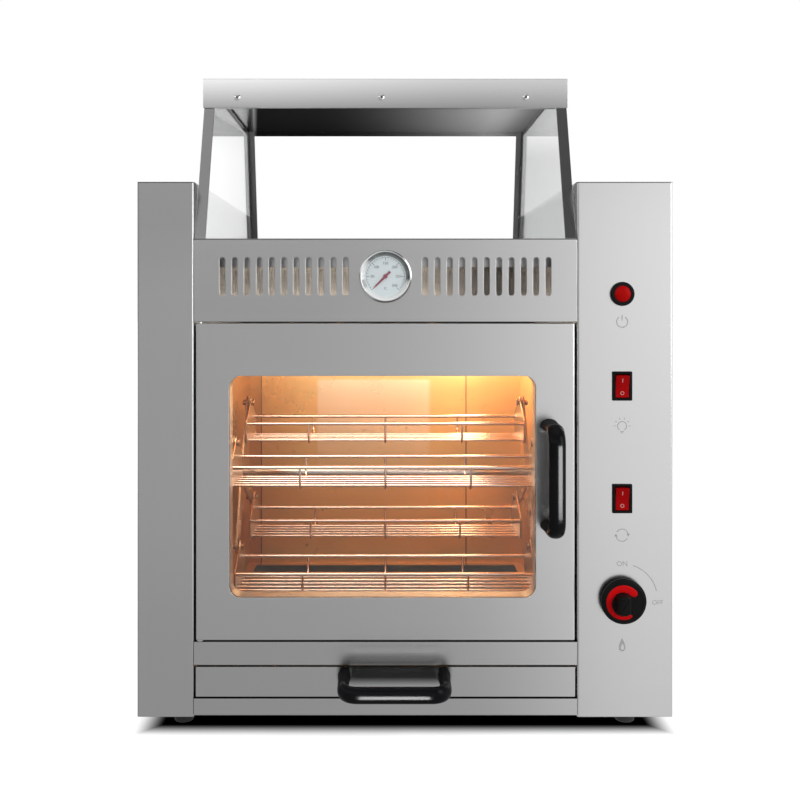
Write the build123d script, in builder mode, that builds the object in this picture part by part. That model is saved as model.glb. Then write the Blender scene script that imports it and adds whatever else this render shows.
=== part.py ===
"""Baked potato oven: a stainless counter-top cabinet with a rotating basket wheel.

The lower part is a gas-heated chamber behind a glazed door.  Inside it a wheel
carries four wire baskets that hang from pins and stay level as the wheel turns.
The top is an open-fronted display under a canopy with two glass sides.

Frame: +X to the right, +Y to the back, +Z up, millimetres.  The origin is on the
floor, under the middle of the whole object's bounding box.
"""

import os
from math import atan2, cos, degrees, radians, sin, tan

from build123d import *

os.makedirs("parts", exist_ok=True)

# --------------------------------------------------------------------------
# Driving dimensions
# --------------------------------------------------------------------------

# Cabinet
BODY_WIDTH = 643.0
BODY_DEPTH = 500.0
LEFT_COLUMN = 68.0
RIGHT_COLUMN = 115.0
SHEET = 1.2
FOLD_RADIUS = 2.5
SEAM = 2.0
RUNNING_GAP = 0.3
SHAFT_CLEARANCE = 0.05

# Front, from the floor up
FOOT_HEIGHT = 20.0
PAN_LIFT = 2.0
BOTTOM_RAIL_HEIGHT = 22.0
DRAWER_FRONT_HEIGHT = 36.0
LOWER_RAIL_HEIGHT = 28.0
DOOR_HEIGHT = 380.0
UPPER_PANEL_HEIGHT = 100.0
DISPLAY_WALL_HEIGHT = 68.0
PANEL_RETURN = 20.0

# Feet and base pan
FOOT_RADIUS = 12.0
FOOT_INSET_SIDE = 48.0
FOOT_INSET_FRONT = 42.0
PAN_LIP = 16.0

# Upper panel: two groups of slots with the thermometer between them
SLOT_COUNT = 11
SLOT_PITCH = 14.8
SLOT_WIDTH = 7.0
SLOT_HEIGHT = 46.0
SLOT_GROUP_OFFSET = 121.6
SLOT_RISE = 4.5

# Thermometer
BEZEL_RADIUS = 31.5
DIAL_RADIUS = 27.0
BEZEL_HEIGHT = 7.0
BEZEL_FOOT_CHAMFER = 1.5
BEZEL_ROLL = 2.5
BEZEL_LIP = 0.8
CASE_WALL = 1.2
DIAL_THICKNESS = 0.8
DIAL_GLASS = 1.5
POINTER_LENGTH = 19.0
POINTER_TAIL = 7.0
POINTER_WIDTH = 3.2
POINTER_REST_ANGLE = 225.0
POINTER_PIN_RADIUS = 0.8
POINTER_THICKNESS = 0.8
POINTER_GAP = 0.6
PROBE_RADIUS = 3.0
PROBE_LENGTH = 62.0
PROBE_NUT_RADIUS = 7.8
PROBE_NUT = 5.0

# Door
DOOR_THICKNESS = 28.0
DOOR_GLASS = 4.0
GLASS_LAP = 12.0
WINDOW_WIDTH = 368.0
WINDOW_HEIGHT = 266.0
WINDOW_CORNER = 14.0
WINDOW_SHIFT_X = -3.5
WINDOW_SHIFT_Z = -6.0
DOOR_EDGE_RADIUS = 3.0
HINGE_INSET = 5.0
HINGE_PIN_RADIUS = 3.0
HINGE_PIN_EMBED = 12.0
HINGE_BRACKET_THICKNESS = 6.0
HINGE_BRACKET_WIDTH = 32.0
SEAL_WIDTH = 7.0
SEAL_INSET = 4.0

# Bow handles
HANDLE_SPAN = 120.0
HANDLE_REACH = 64.0
GRIP_WIDTH = 19.5
GRIP_DEPTH = 13.0
HANDLE_BEND = 17.0
HANDLE_FOOT_RADIUS = 11.0
HANDLE_FOOT_HEIGHT = 3.0
DOOR_HANDLE_FROM_EDGE = 31.5
DOOR_HANDLE_RISE = 8.0
DRAWER_HANDLE_SHIFT = 10.5
DRAWER_HANDLE_RISE = 6.0

# Heating chamber
CHAMBER_GAP = 3.0
CHAMBER_LIFT = 2.0
CHAMBER_HEIGHT = 404.0
CHAMBER_BACK_GAP = 30.0
RIM_WIDTH = 12.0
RIM_SILL = 40.0
CHAMBER_LEDGE = 14.0
VENT_COUNT = 5
VENT_PITCH = 70.0
VENT_LENGTH = 90.0
VENT_WIDTH = 12.0

# Basket wheel
WHEEL_SETBACK = 6.0
WHEEL_HEIGHT = 272.0
WHEEL_RADIUS = 110.0
BASKET_COUNT = 4
WHEEL_PHASE = 60.0
SPIDER_LAND = 4.0
WHEEL_END_GAP = 17.0
WHEEL_PLATE = 3.0
ARM_ROOT = 34.0
ARM_TIP = 20.0
ARM_HOLE_RADIUS = 6.0
SHAFT_RADIUS = 9.0
JOURNAL_RADIUS = 6.0
HUB_RADIUS = 13.0
HUB_LENGTH = 10.0
BEARING_FLANGE_RADIUS = 19.0
BEARING_BODY_RADIUS = 11.0
BEARING_FLANGE = 4.0
BEARING_LENGTH = 18.0
PIN_RADIUS = 3.0
PIN_HEAD_RADIUS = 5.5
PIN_HEAD = 2.0
PIN_SIDE_GAP = 2.0
NUT_RADIUS = 4.5
NUT_HEIGHT = 6.0
WING_SPAN = 18.0
WING_THICKNESS = 2.0

# Wire baskets
BASKET_HALF_DEPTH = 50.0
BASKET_DROP = 26.0
BASKET_WALL = 26.0
BASKET_CORNER = 13.0
BASKET_END = 2.0
END_SIDE_MARGIN = 1.5
END_TOP_MARGIN = 2.0
EYE_RADIUS = 9.0
RAIL_RADIUS = 2.5
FLOOR_WIRE_RADIUS = 1.75
FLOOR_WIRE_COUNT = 5
FLOOR_WIRE_PITCH = 17.0
RIB_RADIUS = 1.5
RIB_COUNT = 3
RIB_PITCH = 112.0
RIB_SINK = 2.6

# Drive
BRACKET_SHEET = 2.0
MOTOR_STANDOFF = 16.0
BRACKET_HEIGHT = 76.0
BRACKET_TOP = 66.0
BRACKET_FOOT = 12.0
GEARBOX_SIDE = 64.0
GEARBOX_LENGTH = 34.0
GEARBOX_CORNER = 6.0
MOTOR_RADIUS = 24.0
MOTOR_LENGTH = 42.0
MOTOR_CAP = 6.0
MOTOR_CAP_INSET = 6.0
COUPLING_RADIUS = 10.0
STUB_RADIUS = 4.0
STUB_LENGTH = 8.0

# Burners and gas
BURNER_COUNT = 3
BURNER_PITCH = 100.0
BURNER_RADIUS = 6.5
BURNER_WALL = 1.0
BURNER_HEIGHT = 93.0
PORT_COUNT = 9
PORT_PITCH = 42.0
PORT_LENGTH = 26.0
PORT_WIDTH = 2.0
MANIFOLD_RADIUS = 5.0
MANIFOLD_OFFSET = 16.0
TEE_LENGTH = 8.0
PIPE_RADIUS = 4.0
PIPE_BEND = 14.0
INLET_RADIUS = 4.75
INLET_LENGTH = 26.0
INLET_COLLAR_RADIUS = 10.0
INLET_COLLAR = 10.0
INLET_HEIGHT = 122.0
ELECTRODE_RADIUS = 2.5
ELECTRODE_LENGTH = 46.0
ELECTRODE_TIP = 8.0
ELECTRODE_RISE = 11.0

# Chamber lamp
LAMP_HOLDER_RADIUS = 22.0
LAMP_HOLDER_DEPTH = 14.0
LAMP_BULB_RADIUS = 15.0
LAMP_BULB_NECK = 6.0
LAMP_FROM_WALL = 87.0
LAMP_BELOW_TOP = 42.0

# Controls, one above the other on the right column
CONTROL_INSET = 54.0
SIGNAL_LAMP_HEIGHT = 527.5
LIGHT_SWITCH_HEIGHT = 417.0
ROTATION_SWITCH_HEIGHT = 282.0
KNOB_HEIGHT = 161.0
SIGNAL_BEZEL_RADIUS = 14.4
SIGNAL_LENS_RADIUS = 9.8
SIGNAL_BEZEL_HEIGHT = 4.0
SIGNAL_DOME = 3.0
SIGNAL_BODY_RADIUS = 11.5
SIGNAL_BODY_DEPTH = 22.0
SWITCH_WIDTH = 24.0
SWITCH_HEIGHT = 35.0
SWITCH_FLANGE = 2.0
SWITCH_BODY_INSET = 1.5
SWITCH_BODY_DEPTH = 22.0
SWITCH_MOUTH_WIDTH = 16.6
SWITCH_MOUTH_HEIGHT = 29.0
SWITCH_MOUTH_DEPTH = 14.0
ROCKER_TILT = 8.0
ROCKER_PIVOT_DEPTH = 2.0
ROCKER_CREST = 3.6
ROCKER_BACK = 5.0
ROCKER_PIN_RADIUS = 1.5
ROCKER_PIN_LENGTH = 1.2
KNOB_RADIUS = 27.0
KNOB_SKIRT = 5.0
KNOB_GRIP_RADIUS = 22.0
KNOB_HEIGHT_OUT = 20.0
KNOB_LIFT = 5.5
KNOB_GRIP_FLAT = 17.0
KNOB_CAP = 6.0
RING_OUTER = 20.3
RING_INNER = 13.9
RING_SHIFT_X = -1.0
RING_SHIFT_Z = -1.5
RING_INNER_SHIFT = -2.9
RING_THICKNESS = 0.6
RING_OPEN_FROM = -58.0
RING_OPEN_TO = 28.0
STEM_RADIUS = 4.0
COLLAR_RADIUS = 6.0
COLLAR_OUT = 4.0
COLLAR_IN = 9.0
PUSH_TRAVEL = 4.0
STEM_HOLE_RADIUS = 8.0
VALVE_SIZE = 32.0
VALVE_CORNER = 3.0
VALVE_DEPTH = 40.0
VALVE_SETBACK = 16.0
VALVE_NECK_RADIUS = 10.0
VALVE_NECK = 12.0
STEM_ENTRY = 8.0

# Crumb drawer
TRAY_LENGTH = 388.0
TRAY_HEIGHT = 28.0
DRAWER_RETURN = 12.0
RUNNER_LIP = 14.0
RUNNER_SHEET = 1.5
RUNNER_HEIGHT = 26.0
RUNNER_START = 24.0
RUNNER_BACK_GAP = 56.0

# Display deck and canopy
DECK_DROP = 20.0
DECK_FLANGE = 14.0
DISPLAY_BACK_RISE = 40.0
CANOPY_RISE = 206.0
HEADER_HEIGHT = 37.0
HEADER_RETURN = 8.0
ROOF_LIP = 8.0
ROOF_FRONT = 62.0
ROOF_BACK_INSET = 55.0
PILLAR_WIDTH = 13.0
PILLAR_DEPTH = 14.0
POST_WIDTH = 14.0
CANOPY_GLASS = 4.0
GLASS_MARGIN = 3.0
SCREW_HEAD_RADIUS = 4.0
SCREW_HEAD = 2.0
SCREW_SHANK_RADIUS = 2.0
HEADER_SCREW_OFFSET = 182.0
HEADER_SCREW_SHIFT = -5.0
HEADER_SCREW_DROP = 23.5
GLASS_SCREW_UPPER = 740.0
GLASS_SCREW_LOWER = 662.0

# Back
LOUVRE_COUNT = 7
LOUVRE_PITCH = 14.0
LOUVRE_LENGTH = 70.0
LOUVRE_WIDTH = 4.0
GLAND_RADIUS = 11.0
GLAND_BORE = 4.0
GLAND_OUT = 14.0
GLAND_IN = 12.0
GLAND_STEP = 2.0
GLAND_NUT = 4.0
GLAND_COLLAR = 5.0
GLAND_HEIGHT = 78.0
GLAND_FROM_SIDE = 34.0
REAR_REACH = INLET_LENGTH + INLET_COLLAR

# --------------------------------------------------------------------------
# Levels and limits worked out from the driving dimensions
# --------------------------------------------------------------------------

X_LEFT = -BODY_WIDTH / 2
X_RIGHT = BODY_WIDTH / 2
X_OPEN_LEFT = X_LEFT + LEFT_COLUMN
X_OPEN_RIGHT = X_RIGHT - RIGHT_COLUMN
X_CENTRE = (X_OPEN_LEFT + X_OPEN_RIGHT) / 2
X_PANEL_LEFT = X_OPEN_LEFT + SEAM
X_PANEL_RIGHT = X_OPEN_RIGHT - SEAM
PANEL_WIDTH = X_PANEL_RIGHT - X_PANEL_LEFT

Y_FRONT = (HANDLE_REACH - BODY_DEPTH - REAR_REACH) / 2
Y_BACK = Y_FRONT + BODY_DEPTH

Z_BASE = FOOT_HEIGHT
Z_PAN = Z_BASE + PAN_LIFT
Z_PAN_TOP = Z_PAN + SHEET
Z_BOTTOM_RAIL_TOP = Z_BASE + BOTTOM_RAIL_HEIGHT
Z_DRAWER = Z_BOTTOM_RAIL_TOP + SEAM
Z_DRAWER_TOP = Z_DRAWER + DRAWER_FRONT_HEIGHT
Z_LOWER_RAIL = Z_DRAWER_TOP + SEAM
Z_LOWER_RAIL_TOP = Z_LOWER_RAIL + LOWER_RAIL_HEIGHT
Z_DOOR = Z_LOWER_RAIL_TOP + SEAM
Z_DOOR_TOP = Z_DOOR + DOOR_HEIGHT
Z_UPPER_PANEL = Z_DOOR_TOP + SEAM
Z_PANEL_TOP = Z_UPPER_PANEL + UPPER_PANEL_HEIGHT
Z_COLUMN_TOP = Z_PANEL_TOP + DISPLAY_WALL_HEIGHT
Z_SLOTS = (Z_UPPER_PANEL + Z_PANEL_TOP) / 2 + SLOT_RISE
BODY_HEIGHT = Z_COLUMN_TOP - Z_BASE
Z_DECK_TOP = Z_PANEL_TOP - DECK_DROP
Z_ROOF_TOP = Z_PANEL_TOP + CANOPY_RISE
Z_ROOF_UNDER = Z_ROOF_TOP - SHEET
Z_HEADER = Z_ROOF_TOP - HEADER_HEIGHT

CONTROL_X = X_OPEN_RIGHT + CONTROL_INSET
GLAND_X = X_RIGHT - GLAND_FROM_SIDE

CHAMBER_FRONT = DOOR_THICKNESS + SEAM
CHAMBER_BACK = BODY_DEPTH - CHAMBER_BACK_GAP
ROOF_BACK = BODY_DEPTH - ROOF_BACK_INSET
RUNNER_LENGTH = BODY_DEPTH - RUNNER_START - RUNNER_BACK_GAP

WHEEL_DEPTH = (CHAMBER_FRONT + CHAMBER_BACK) / 2 + WHEEL_SETBACK
Y_WHEEL = Y_FRONT + WHEEL_DEPTH
Z_WHEEL = WHEEL_HEIGHT

CHAMBER_LEFT = X_OPEN_LEFT + CHAMBER_GAP
CHAMBER_RIGHT = X_OPEN_RIGHT - CHAMBER_GAP
Z_CHAMBER = Z_LOWER_RAIL + CHAMBER_LIFT
Z_CHAMBER_TOP = Z_CHAMBER + CHAMBER_HEIGHT

WHEEL_LEFT = CHAMBER_LEFT + SHEET + WHEEL_END_GAP
WHEEL_RIGHT = CHAMBER_RIGHT - SHEET - WHEEL_END_GAP
BASKET_LEFT = WHEEL_LEFT + WHEEL_PLATE + PIN_SIDE_GAP
BASKET_RIGHT = WHEEL_RIGHT - WHEEL_PLATE - PIN_SIDE_GAP


# --------------------------------------------------------------------------
# Drawing helpers
# --------------------------------------------------------------------------


def at_depth(depth):
    """Distance behind the front face, as a Y coordinate."""
    return Y_FRONT + depth


def front(depth=0.0):
    """Upright sketch plane that faces the user: local x right, local y up."""
    return Plane(origin=(0, at_depth(depth), 0), x_dir=(1, 0, 0), z_dir=(0, -1, 0))


def across(x):
    """Upright sketch plane across the cabinet at x: local x to the back, local y up."""
    return Plane(origin=(x, 0, 0), x_dir=(0, 1, 0), z_dir=(1, 0, 0))


def span(x0, x1, y0, y1, mode=Mode.ADD):
    """Rectangle between two limits each way, in the sketch that is open."""
    with Locations(((x0 + x1) / 2, (y0 + y1) / 2)):
        Rectangle(x1 - x0, y1 - y0, mode=mode)


def channel(y0, y1, z0, z1):
    """Section of a folded panel: front face with a top and a bottom return."""
    span(y0, y1, z0, z1)
    span(y0 + SHEET, y1, z0 + SHEET, z1 - SHEET, mode=Mode.SUBTRACT)


def turned(plane, axis, outline):
    """Solid turned about an axis from its half outline (along, radius)."""
    with BuildPart() as part:
        with BuildSketch(plane):
            with BuildLine():
                Polyline(*outline, close=True)
            make_face()
        revolve(axis=axis)
    return part.part


def turned_out_of_front(x, z, outline):
    """Turned solid about an axis that points out of the front at (x, z).

    The outline's first number is the distance in front of the front face.
    """
    plane = Plane(origin=(x, Y_FRONT, z), x_dir=(0, -1, 0), z_dir=(1, 0, 0))
    return turned(plane, Axis((x, Y_FRONT, z), (0, -1, 0)), outline)


def turned_along_x(y, z, outline):
    """Turned solid about an axis along +X; the outline's first number is X."""
    plane = Plane(origin=(0, y, z), x_dir=(1, 0, 0), z_dir=(0, -1, 0))
    return turned(plane, Axis((0, y, z), (1, 0, 0)), outline)


def column(x0, x1):
    """Column cover: front, both sides and top in one folded sheet, open below and behind."""
    with BuildPart() as cover:
        with BuildSketch(Plane.XY.offset(Z_BASE)):
            span(x0, x1, Y_FRONT, Y_BACK - SHEET)
        extrude(amount=BODY_HEIGHT)
        fillet(cover.edges().filter_by(Axis.Z).group_by(Axis.Y)[0], FOLD_RADIUS)
        open_faces = [cover.faces().sort_by(Axis.Z)[0], cover.faces().sort_by(Axis.Y)[-1]]
        offset(amount=-SHEET, openings=open_faces)
    return cover.part


def bow_handle():
    """Bow handle along local X, standing out along local Z from its two feet."""
    half = HANDLE_SPAN / 2
    out = HANDLE_REACH - GRIP_DEPTH / 2
    with BuildPart() as bow:
        with BuildLine() as route:
            FilletPolyline((-half, 0, 0), (-half, 0, out), (half, 0, out), (half, 0, 0), radius=HANDLE_BEND)
        with BuildSketch(Plane.XY.offset(0).move(Location((-half, 0, 0)))):
            Ellipse(GRIP_DEPTH / 2, GRIP_WIDTH / 2)
        sweep(path=route.line)
        with BuildSketch(Plane.XY):
            with Locations((-half, 0), (half, 0)):
                Circle(HANDLE_FOOT_RADIUS)
        extrude(amount=HANDLE_FOOT_HEIGHT)
    return bow.part


# --------------------------------------------------------------------------
# Base, feet and covers
# --------------------------------------------------------------------------

with BuildPart() as base_pan:
    # Floor sheet between the outer covers, with a lip turned up all round.
    with BuildSketch(Plane.XY.offset(Z_PAN)):
        span(X_LEFT + SHEET, X_RIGHT - SHEET, at_depth(SHEET), Y_BACK - SHEET)
    extrude(amount=PAN_LIP)
    fillet(base_pan.edges().filter_by(Axis.Z), FOLD_RADIUS - SHEET)
    offset(amount=-SHEET, openings=base_pan.faces().sort_by(Axis.Z)[-1])
    # The lip is notched where the columns' inner walls stand on the floor sheet.
    with BuildSketch(Plane.XY.offset(Z_PAN_TOP)):
        span(X_OPEN_LEFT - SHEET, X_OPEN_LEFT, Y_FRONT, Y_BACK)
        span(X_OPEN_RIGHT, X_OPEN_RIGHT + SHEET, Y_FRONT, Y_BACK)
    extrude(amount=PAN_LIP, mode=Mode.SUBTRACT)
base_pan.part.label = "base_pan"
export_step(base_pan.part, "parts/base_pan.step")

foot_x = BODY_WIDTH / 2 - FOOT_INSET_SIDE
foot_rear = BODY_DEPTH - FOOT_INSET_FRONT
with BuildPart() as feet:
    # Four tapered rubber feet under the base pan.
    with BuildSketch(Plane.XY):
        for depth in (FOOT_INSET_FRONT, foot_rear):
            with Locations((-foot_x, at_depth(depth)), (foot_x, at_depth(depth))):
                Circle(FOOT_RADIUS)
    extrude(amount=Z_PAN, taper=4)
    fillet(feet.edges().group_by(Axis.Z)[0], 2.0)
feet.part.label = "feet"
export_step(feet.part, "parts/feet.step")


def inner_wall_foot(x0, x1):
    """Sketch of the strip taken off a column's inner wall to stand it on the pan."""
    span(x0, x1, Y_FRONT + FOLD_RADIUS, Y_BACK)


with BuildPart() as left_column_shell:
    add(column(X_LEFT, X_OPEN_LEFT))
    with BuildSketch(Plane.XY.offset(Z_BASE)):
        inner_wall_foot(X_OPEN_LEFT - SHEET, X_OPEN_LEFT)
    extrude(amount=Z_PAN_TOP - Z_BASE, mode=Mode.SUBTRACT)
    # Hole for the wheel's left bearing.
    with BuildSketch(across(X_OPEN_LEFT)):
        with Locations((Y_WHEEL, Z_WHEEL)):
            Circle(BEARING_BODY_RADIUS)
    extrude(amount=-2 * SHEET, mode=Mode.SUBTRACT)
left_column_shell.part.label = "left_column_shell"
export_step(left_column_shell.part, "parts/left_column_shell.step")

burner_depths = [WHEEL_DEPTH + BURNER_PITCH * (i - (BURNER_COUNT - 1) / 2) for i in range(BURNER_COUNT)]
switch_body_width = SWITCH_WIDTH - 2 * SWITCH_BODY_INSET
switch_body_height = SWITCH_HEIGHT - 2 * SWITCH_BODY_INSET
with BuildPart() as right_column_shell:
    add(column(X_OPEN_RIGHT, X_RIGHT))
    with BuildSketch(Plane.XY.offset(Z_BASE)):
        inner_wall_foot(X_OPEN_RIGHT, X_OPEN_RIGHT + SHEET)
    extrude(amount=Z_PAN_TOP - Z_BASE, mode=Mode.SUBTRACT)
    # Inner wall: holes for the right bearing and for the burner tubes.
    with BuildSketch(across(X_OPEN_RIGHT)):
        with Locations((Y_WHEEL, Z_WHEEL)):
            Circle(BEARING_BODY_RADIUS)
        with Locations(*[(at_depth(depth), BURNER_HEIGHT) for depth in burner_depths]):
            Circle(BURNER_RADIUS)
    extrude(amount=SHEET, mode=Mode.SUBTRACT)
    # Front: signal lamp, two switches and the knob's stem.
    with BuildSketch(front()):
        with Locations((CONTROL_X, SIGNAL_LAMP_HEIGHT)):
            Circle(SIGNAL_BODY_RADIUS)
        with Locations((CONTROL_X, LIGHT_SWITCH_HEIGHT), (CONTROL_X, ROTATION_SWITCH_HEIGHT)):
            Rectangle(switch_body_width, switch_body_height)
        with Locations((CONTROL_X, KNOB_HEIGHT)):
            Circle(STEM_HOLE_RADIUS)
    extrude(amount=-SHEET, mode=Mode.SUBTRACT)
    # Cooling slots for the drive in the outer side.
    with BuildSketch(across(X_RIGHT)):
        with Locations((Y_WHEEL, Z_WHEEL)):
            with GridLocations(0, LOUVRE_PITCH, 1, LOUVRE_COUNT):
                Rectangle(LOUVRE_LENGTH, LOUVRE_WIDTH)
    extrude(amount=-SHEET, mode=Mode.SUBTRACT)
right_column_shell.part.label = "right_column_shell"
export_step(right_column_shell.part, "parts/right_column_shell.step")

with BuildPart() as rear_panel:
    with BuildSketch(front(BODY_DEPTH)):
        span(X_LEFT, X_RIGHT, Z_BASE, Z_COLUMN_TOP)
        # Between the columns the sheet ends as a low fence behind the display.
        with Locations((X_CENTRE, Z_COLUMN_TOP)):
            Rectangle(
                X_OPEN_RIGHT - X_OPEN_LEFT,
                2 * (Z_COLUMN_TOP - Z_DECK_TOP - DISPLAY_BACK_RISE),
                mode=Mode.SUBTRACT,
            )
        with Locations((CONTROL_X, INLET_HEIGHT)):
            Circle(PIPE_RADIUS, mode=Mode.SUBTRACT)
        with Locations((GLAND_X, GLAND_HEIGHT)):
            Circle(GLAND_RADIUS - GLAND_STEP, mode=Mode.SUBTRACT)
        # Louvres behind the drive and behind the chamber's warm top.
        for z in (Z_WHEEL, Z_SLOTS):
            with Locations((CONTROL_X, z)):
                with GridLocations(0, LOUVRE_PITCH, 1, LOUVRE_COUNT):
                    Rectangle(LOUVRE_LENGTH, LOUVRE_WIDTH, mode=Mode.SUBTRACT)
    extrude(amount=SHEET)
rear_panel.part.label = "rear_panel"
export_step(rear_panel.part, "parts/rear_panel.step")

hinge_x = X_PANEL_LEFT + HINGE_INSET
hinge_y = at_depth(HINGE_INSET)
hinge_hole_radius = HINGE_PIN_RADIUS + 1.0

with BuildPart() as bottom_front_rail:
    with BuildSketch(across(X_OPEN_LEFT)):
        channel(Y_FRONT, at_depth(SHEET), Z_PAN, Z_BOTTOM_RAIL_TOP)
        span(Y_FRONT, at_depth(PANEL_RETURN), Z_BOTTOM_RAIL_TOP - SHEET, Z_BOTTOM_RAIL_TOP)
    extrude(amount=X_OPEN_RIGHT - X_OPEN_LEFT)
bottom_front_rail.part.label = "bottom_front_rail"
export_step(bottom_front_rail.part, "parts/bottom_front_rail.step")

with BuildPart() as lower_front_rail:
    with BuildSketch(across(X_OPEN_LEFT)):
        channel(Y_FRONT, at_depth(PANEL_RETURN), Z_LOWER_RAIL, Z_LOWER_RAIL_TOP)
    extrude(amount=X_OPEN_RIGHT - X_OPEN_LEFT)
    with Locations((hinge_x, hinge_y, Z_LOWER_RAIL_TOP)):
        Cylinder(hinge_hole_radius, 4 * SHEET, mode=Mode.SUBTRACT)
lower_front_rail.part.label = "lower_front_rail"
export_step(lower_front_rail.part, "parts/lower_front_rail.step")

with BuildPart() as upper_front_panel:
    with BuildSketch(across(X_OPEN_LEFT)):
        channel(Y_FRONT, at_depth(PANEL_RETURN), Z_UPPER_PANEL, Z_PANEL_TOP)
    extrude(amount=X_OPEN_RIGHT - X_OPEN_LEFT)
    with BuildSketch(front()):
        # Two groups of upright slots and the hole for the thermometer's stem.
        for side in (-1, 1):
            with Locations((X_CENTRE + side * SLOT_GROUP_OFFSET, Z_SLOTS)):
                with GridLocations(SLOT_PITCH, 0, SLOT_COUNT, 1):
                    SlotOverall(SLOT_HEIGHT, SLOT_WIDTH, rotation=90)
        with Locations((X_CENTRE, Z_SLOTS)):
            Circle(PROBE_RADIUS)
    extrude(amount=-SHEET, mode=Mode.SUBTRACT)
    with Locations((hinge_x, hinge_y, Z_UPPER_PANEL)):
        Cylinder(hinge_hole_radius, 4 * SHEET, mode=Mode.SUBTRACT)
upper_front_panel.part.label = "upper_front_panel"
export_step(upper_front_panel.part, "parts/upper_front_panel.step")

# --------------------------------------------------------------------------
# Display deck and canopy
# --------------------------------------------------------------------------

with BuildPart() as display_deck:
    # Floor of the display: a tray bottom with its edges folded down.
    with BuildSketch(Plane.XY.offset(Z_DECK_TOP - DECK_FLANGE)):
        span(X_OPEN_LEFT, X_OPEN_RIGHT, at_depth(PANEL_RETURN), Y_BACK - SHEET)
    extrude(amount=DECK_FLANGE)
    offset(amount=-SHEET, openings=display_deck.faces().sort_by(Axis.Z)[0])
display_deck.part.label = "display_deck"
export_step(display_deck.part, "parts/display_deck.step")

front_lean = (ROOF_FRONT + SHEET) / (Z_HEADER - Z_PANEL_TOP)
roof_inner_back = ROOF_BACK - SHEET
z_roof_lip = Z_ROOF_TOP - ROOF_LIP
rear_lean = (BODY_DEPTH - SHEET - roof_inner_back) / (z_roof_lip - Z_DECK_TOP)


def pillar_front(z):
    """Y of a front pillar's leading face at height z."""
    return at_depth(front_lean * (z - Z_PANEL_TOP))


def post_back(z):
    """Y of a rear post's trailing face at height z."""
    return at_depth(roof_inner_back + rear_lean * (z_roof_lip - z))


def leaning_angle(edge, z0, z1, inward, width, depth, x_outer, side):
    """Folded angle bar: a flange along the glass and a face across it, both leaning."""
    with BuildPart() as bar:
        with BuildSketch(across(x_outer)):
            with BuildLine():
                Polyline(
                    (edge(z0), z0),
                    (edge(z0) + inward * depth, z0),
                    (edge(z1) + inward * depth, z1),
                    (edge(z1), z1),
                    close=True,
                )
            make_face()
        extrude(amount=side * SHEET)
        with BuildSketch(across(x_outer)):
            with BuildLine():
                Polyline(
                    (edge(z0), z0),
                    (edge(z0) + inward * SHEET, z0),
                    (edge(z1) + inward * SHEET, z1),
                    (edge(z1), z1),
                    close=True,
                )
            make_face()
        extrude(amount=side * width)
    return bar.part


canopy_sides = ((X_OPEN_LEFT + SHEET, 1), (X_OPEN_RIGHT - SHEET, -1))

with BuildPart() as canopy_front_pillars:
    for x_outer, side in canopy_sides:
        add(leaning_angle(pillar_front, Z_PANEL_TOP, Z_ROOF_UNDER, 1, PILLAR_WIDTH, PILLAR_DEPTH, x_outer, side))
canopy_front_pillars.part.label = "canopy_front_pillars"
export_step(canopy_front_pillars.part, "parts/canopy_front_pillars.step")

with BuildPart() as canopy_rear_posts:
    for x_outer, side in canopy_sides:
        add(leaning_angle(post_back, Z_DECK_TOP, Z_ROOF_UNDER, -1, POST_WIDTH, PILLAR_DEPTH, x_outer, side))
canopy_rear_posts.part.label = "canopy_rear_posts"
export_step(canopy_rear_posts.part, "parts/canopy_rear_posts.step")

with BuildPart() as canopy_roof:
    # Shallow folded lid: low lips at the sides and back, a deep header at the front.
    with BuildSketch(Plane.XY.offset(Z_ROOF_TOP - ROOF_LIP)):
        span(X_OPEN_LEFT, X_OPEN_RIGHT, at_depth(ROOF_FRONT), at_depth(ROOF_BACK))
    extrude(amount=ROOF_LIP)
    offset(amount=-SHEET, openings=canopy_roof.faces().sort_by(Axis.Z)[0])
    with BuildSketch(front(ROOF_FRONT)):
        span(X_OPEN_LEFT, X_OPEN_RIGHT, Z_HEADER, Z_ROOF_TOP)
    extrude(amount=-SHEET)
    # The header's lower edge is folded back between the pillars.
    with BuildSketch(Plane.XY.offset(Z_HEADER)):
        fold_margin = SHEET + PILLAR_WIDTH + 1
        span(
            X_OPEN_LEFT + fold_margin,
            X_OPEN_RIGHT - fold_margin,
            at_depth(ROOF_FRONT),
            at_depth(ROOF_FRONT + HEADER_RETURN),
        )
    extrude(amount=SHEET)
    fillet(canopy_roof.edges().filter_by(Axis.X).group_by(Axis.Z)[-1].sort_by(Axis.Y)[0], 1.0)
canopy_roof.part.label = "canopy_roof"
export_step(canopy_roof.part, "parts/canopy_roof.step")

glass_bottom = Z_PANEL_TOP + GLASS_MARGIN
glass_top = Z_ROOF_UNDER - GLASS_MARGIN
glass_outline = [
    (pillar_front(glass_bottom) + 2 * SHEET, glass_bottom),
    (post_back(glass_bottom) - 2 * SHEET, glass_bottom),
    (post_back(glass_top) - 2 * SHEET, glass_top),
    (pillar_front(glass_top) + 2 * SHEET, glass_top),
]


def canopy_pane(x_outer, side):
    """One glass side, against the inside of the pillar's and the post's flanges."""
    with BuildPart() as pane:
        with BuildSketch(across(x_outer + side * SHEET)):
            with BuildLine():
                Polyline(*glass_outline, close=True)
            make_face()
        extrude(amount=side * CANOPY_GLASS)
    return pane.part


with BuildPart() as canopy_glass_left:
    add(canopy_pane(*canopy_sides[0]))
canopy_glass_left.part.label = "canopy_glass_left"
export_step(canopy_glass_left.part, "parts/canopy_glass_left.step")

with BuildPart() as canopy_glass_right:
    add(canopy_pane(*canopy_sides[1]))
canopy_glass_right.part.label = "canopy_glass_right"
export_step(canopy_glass_right.part, "parts/canopy_glass_right.step")

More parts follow.
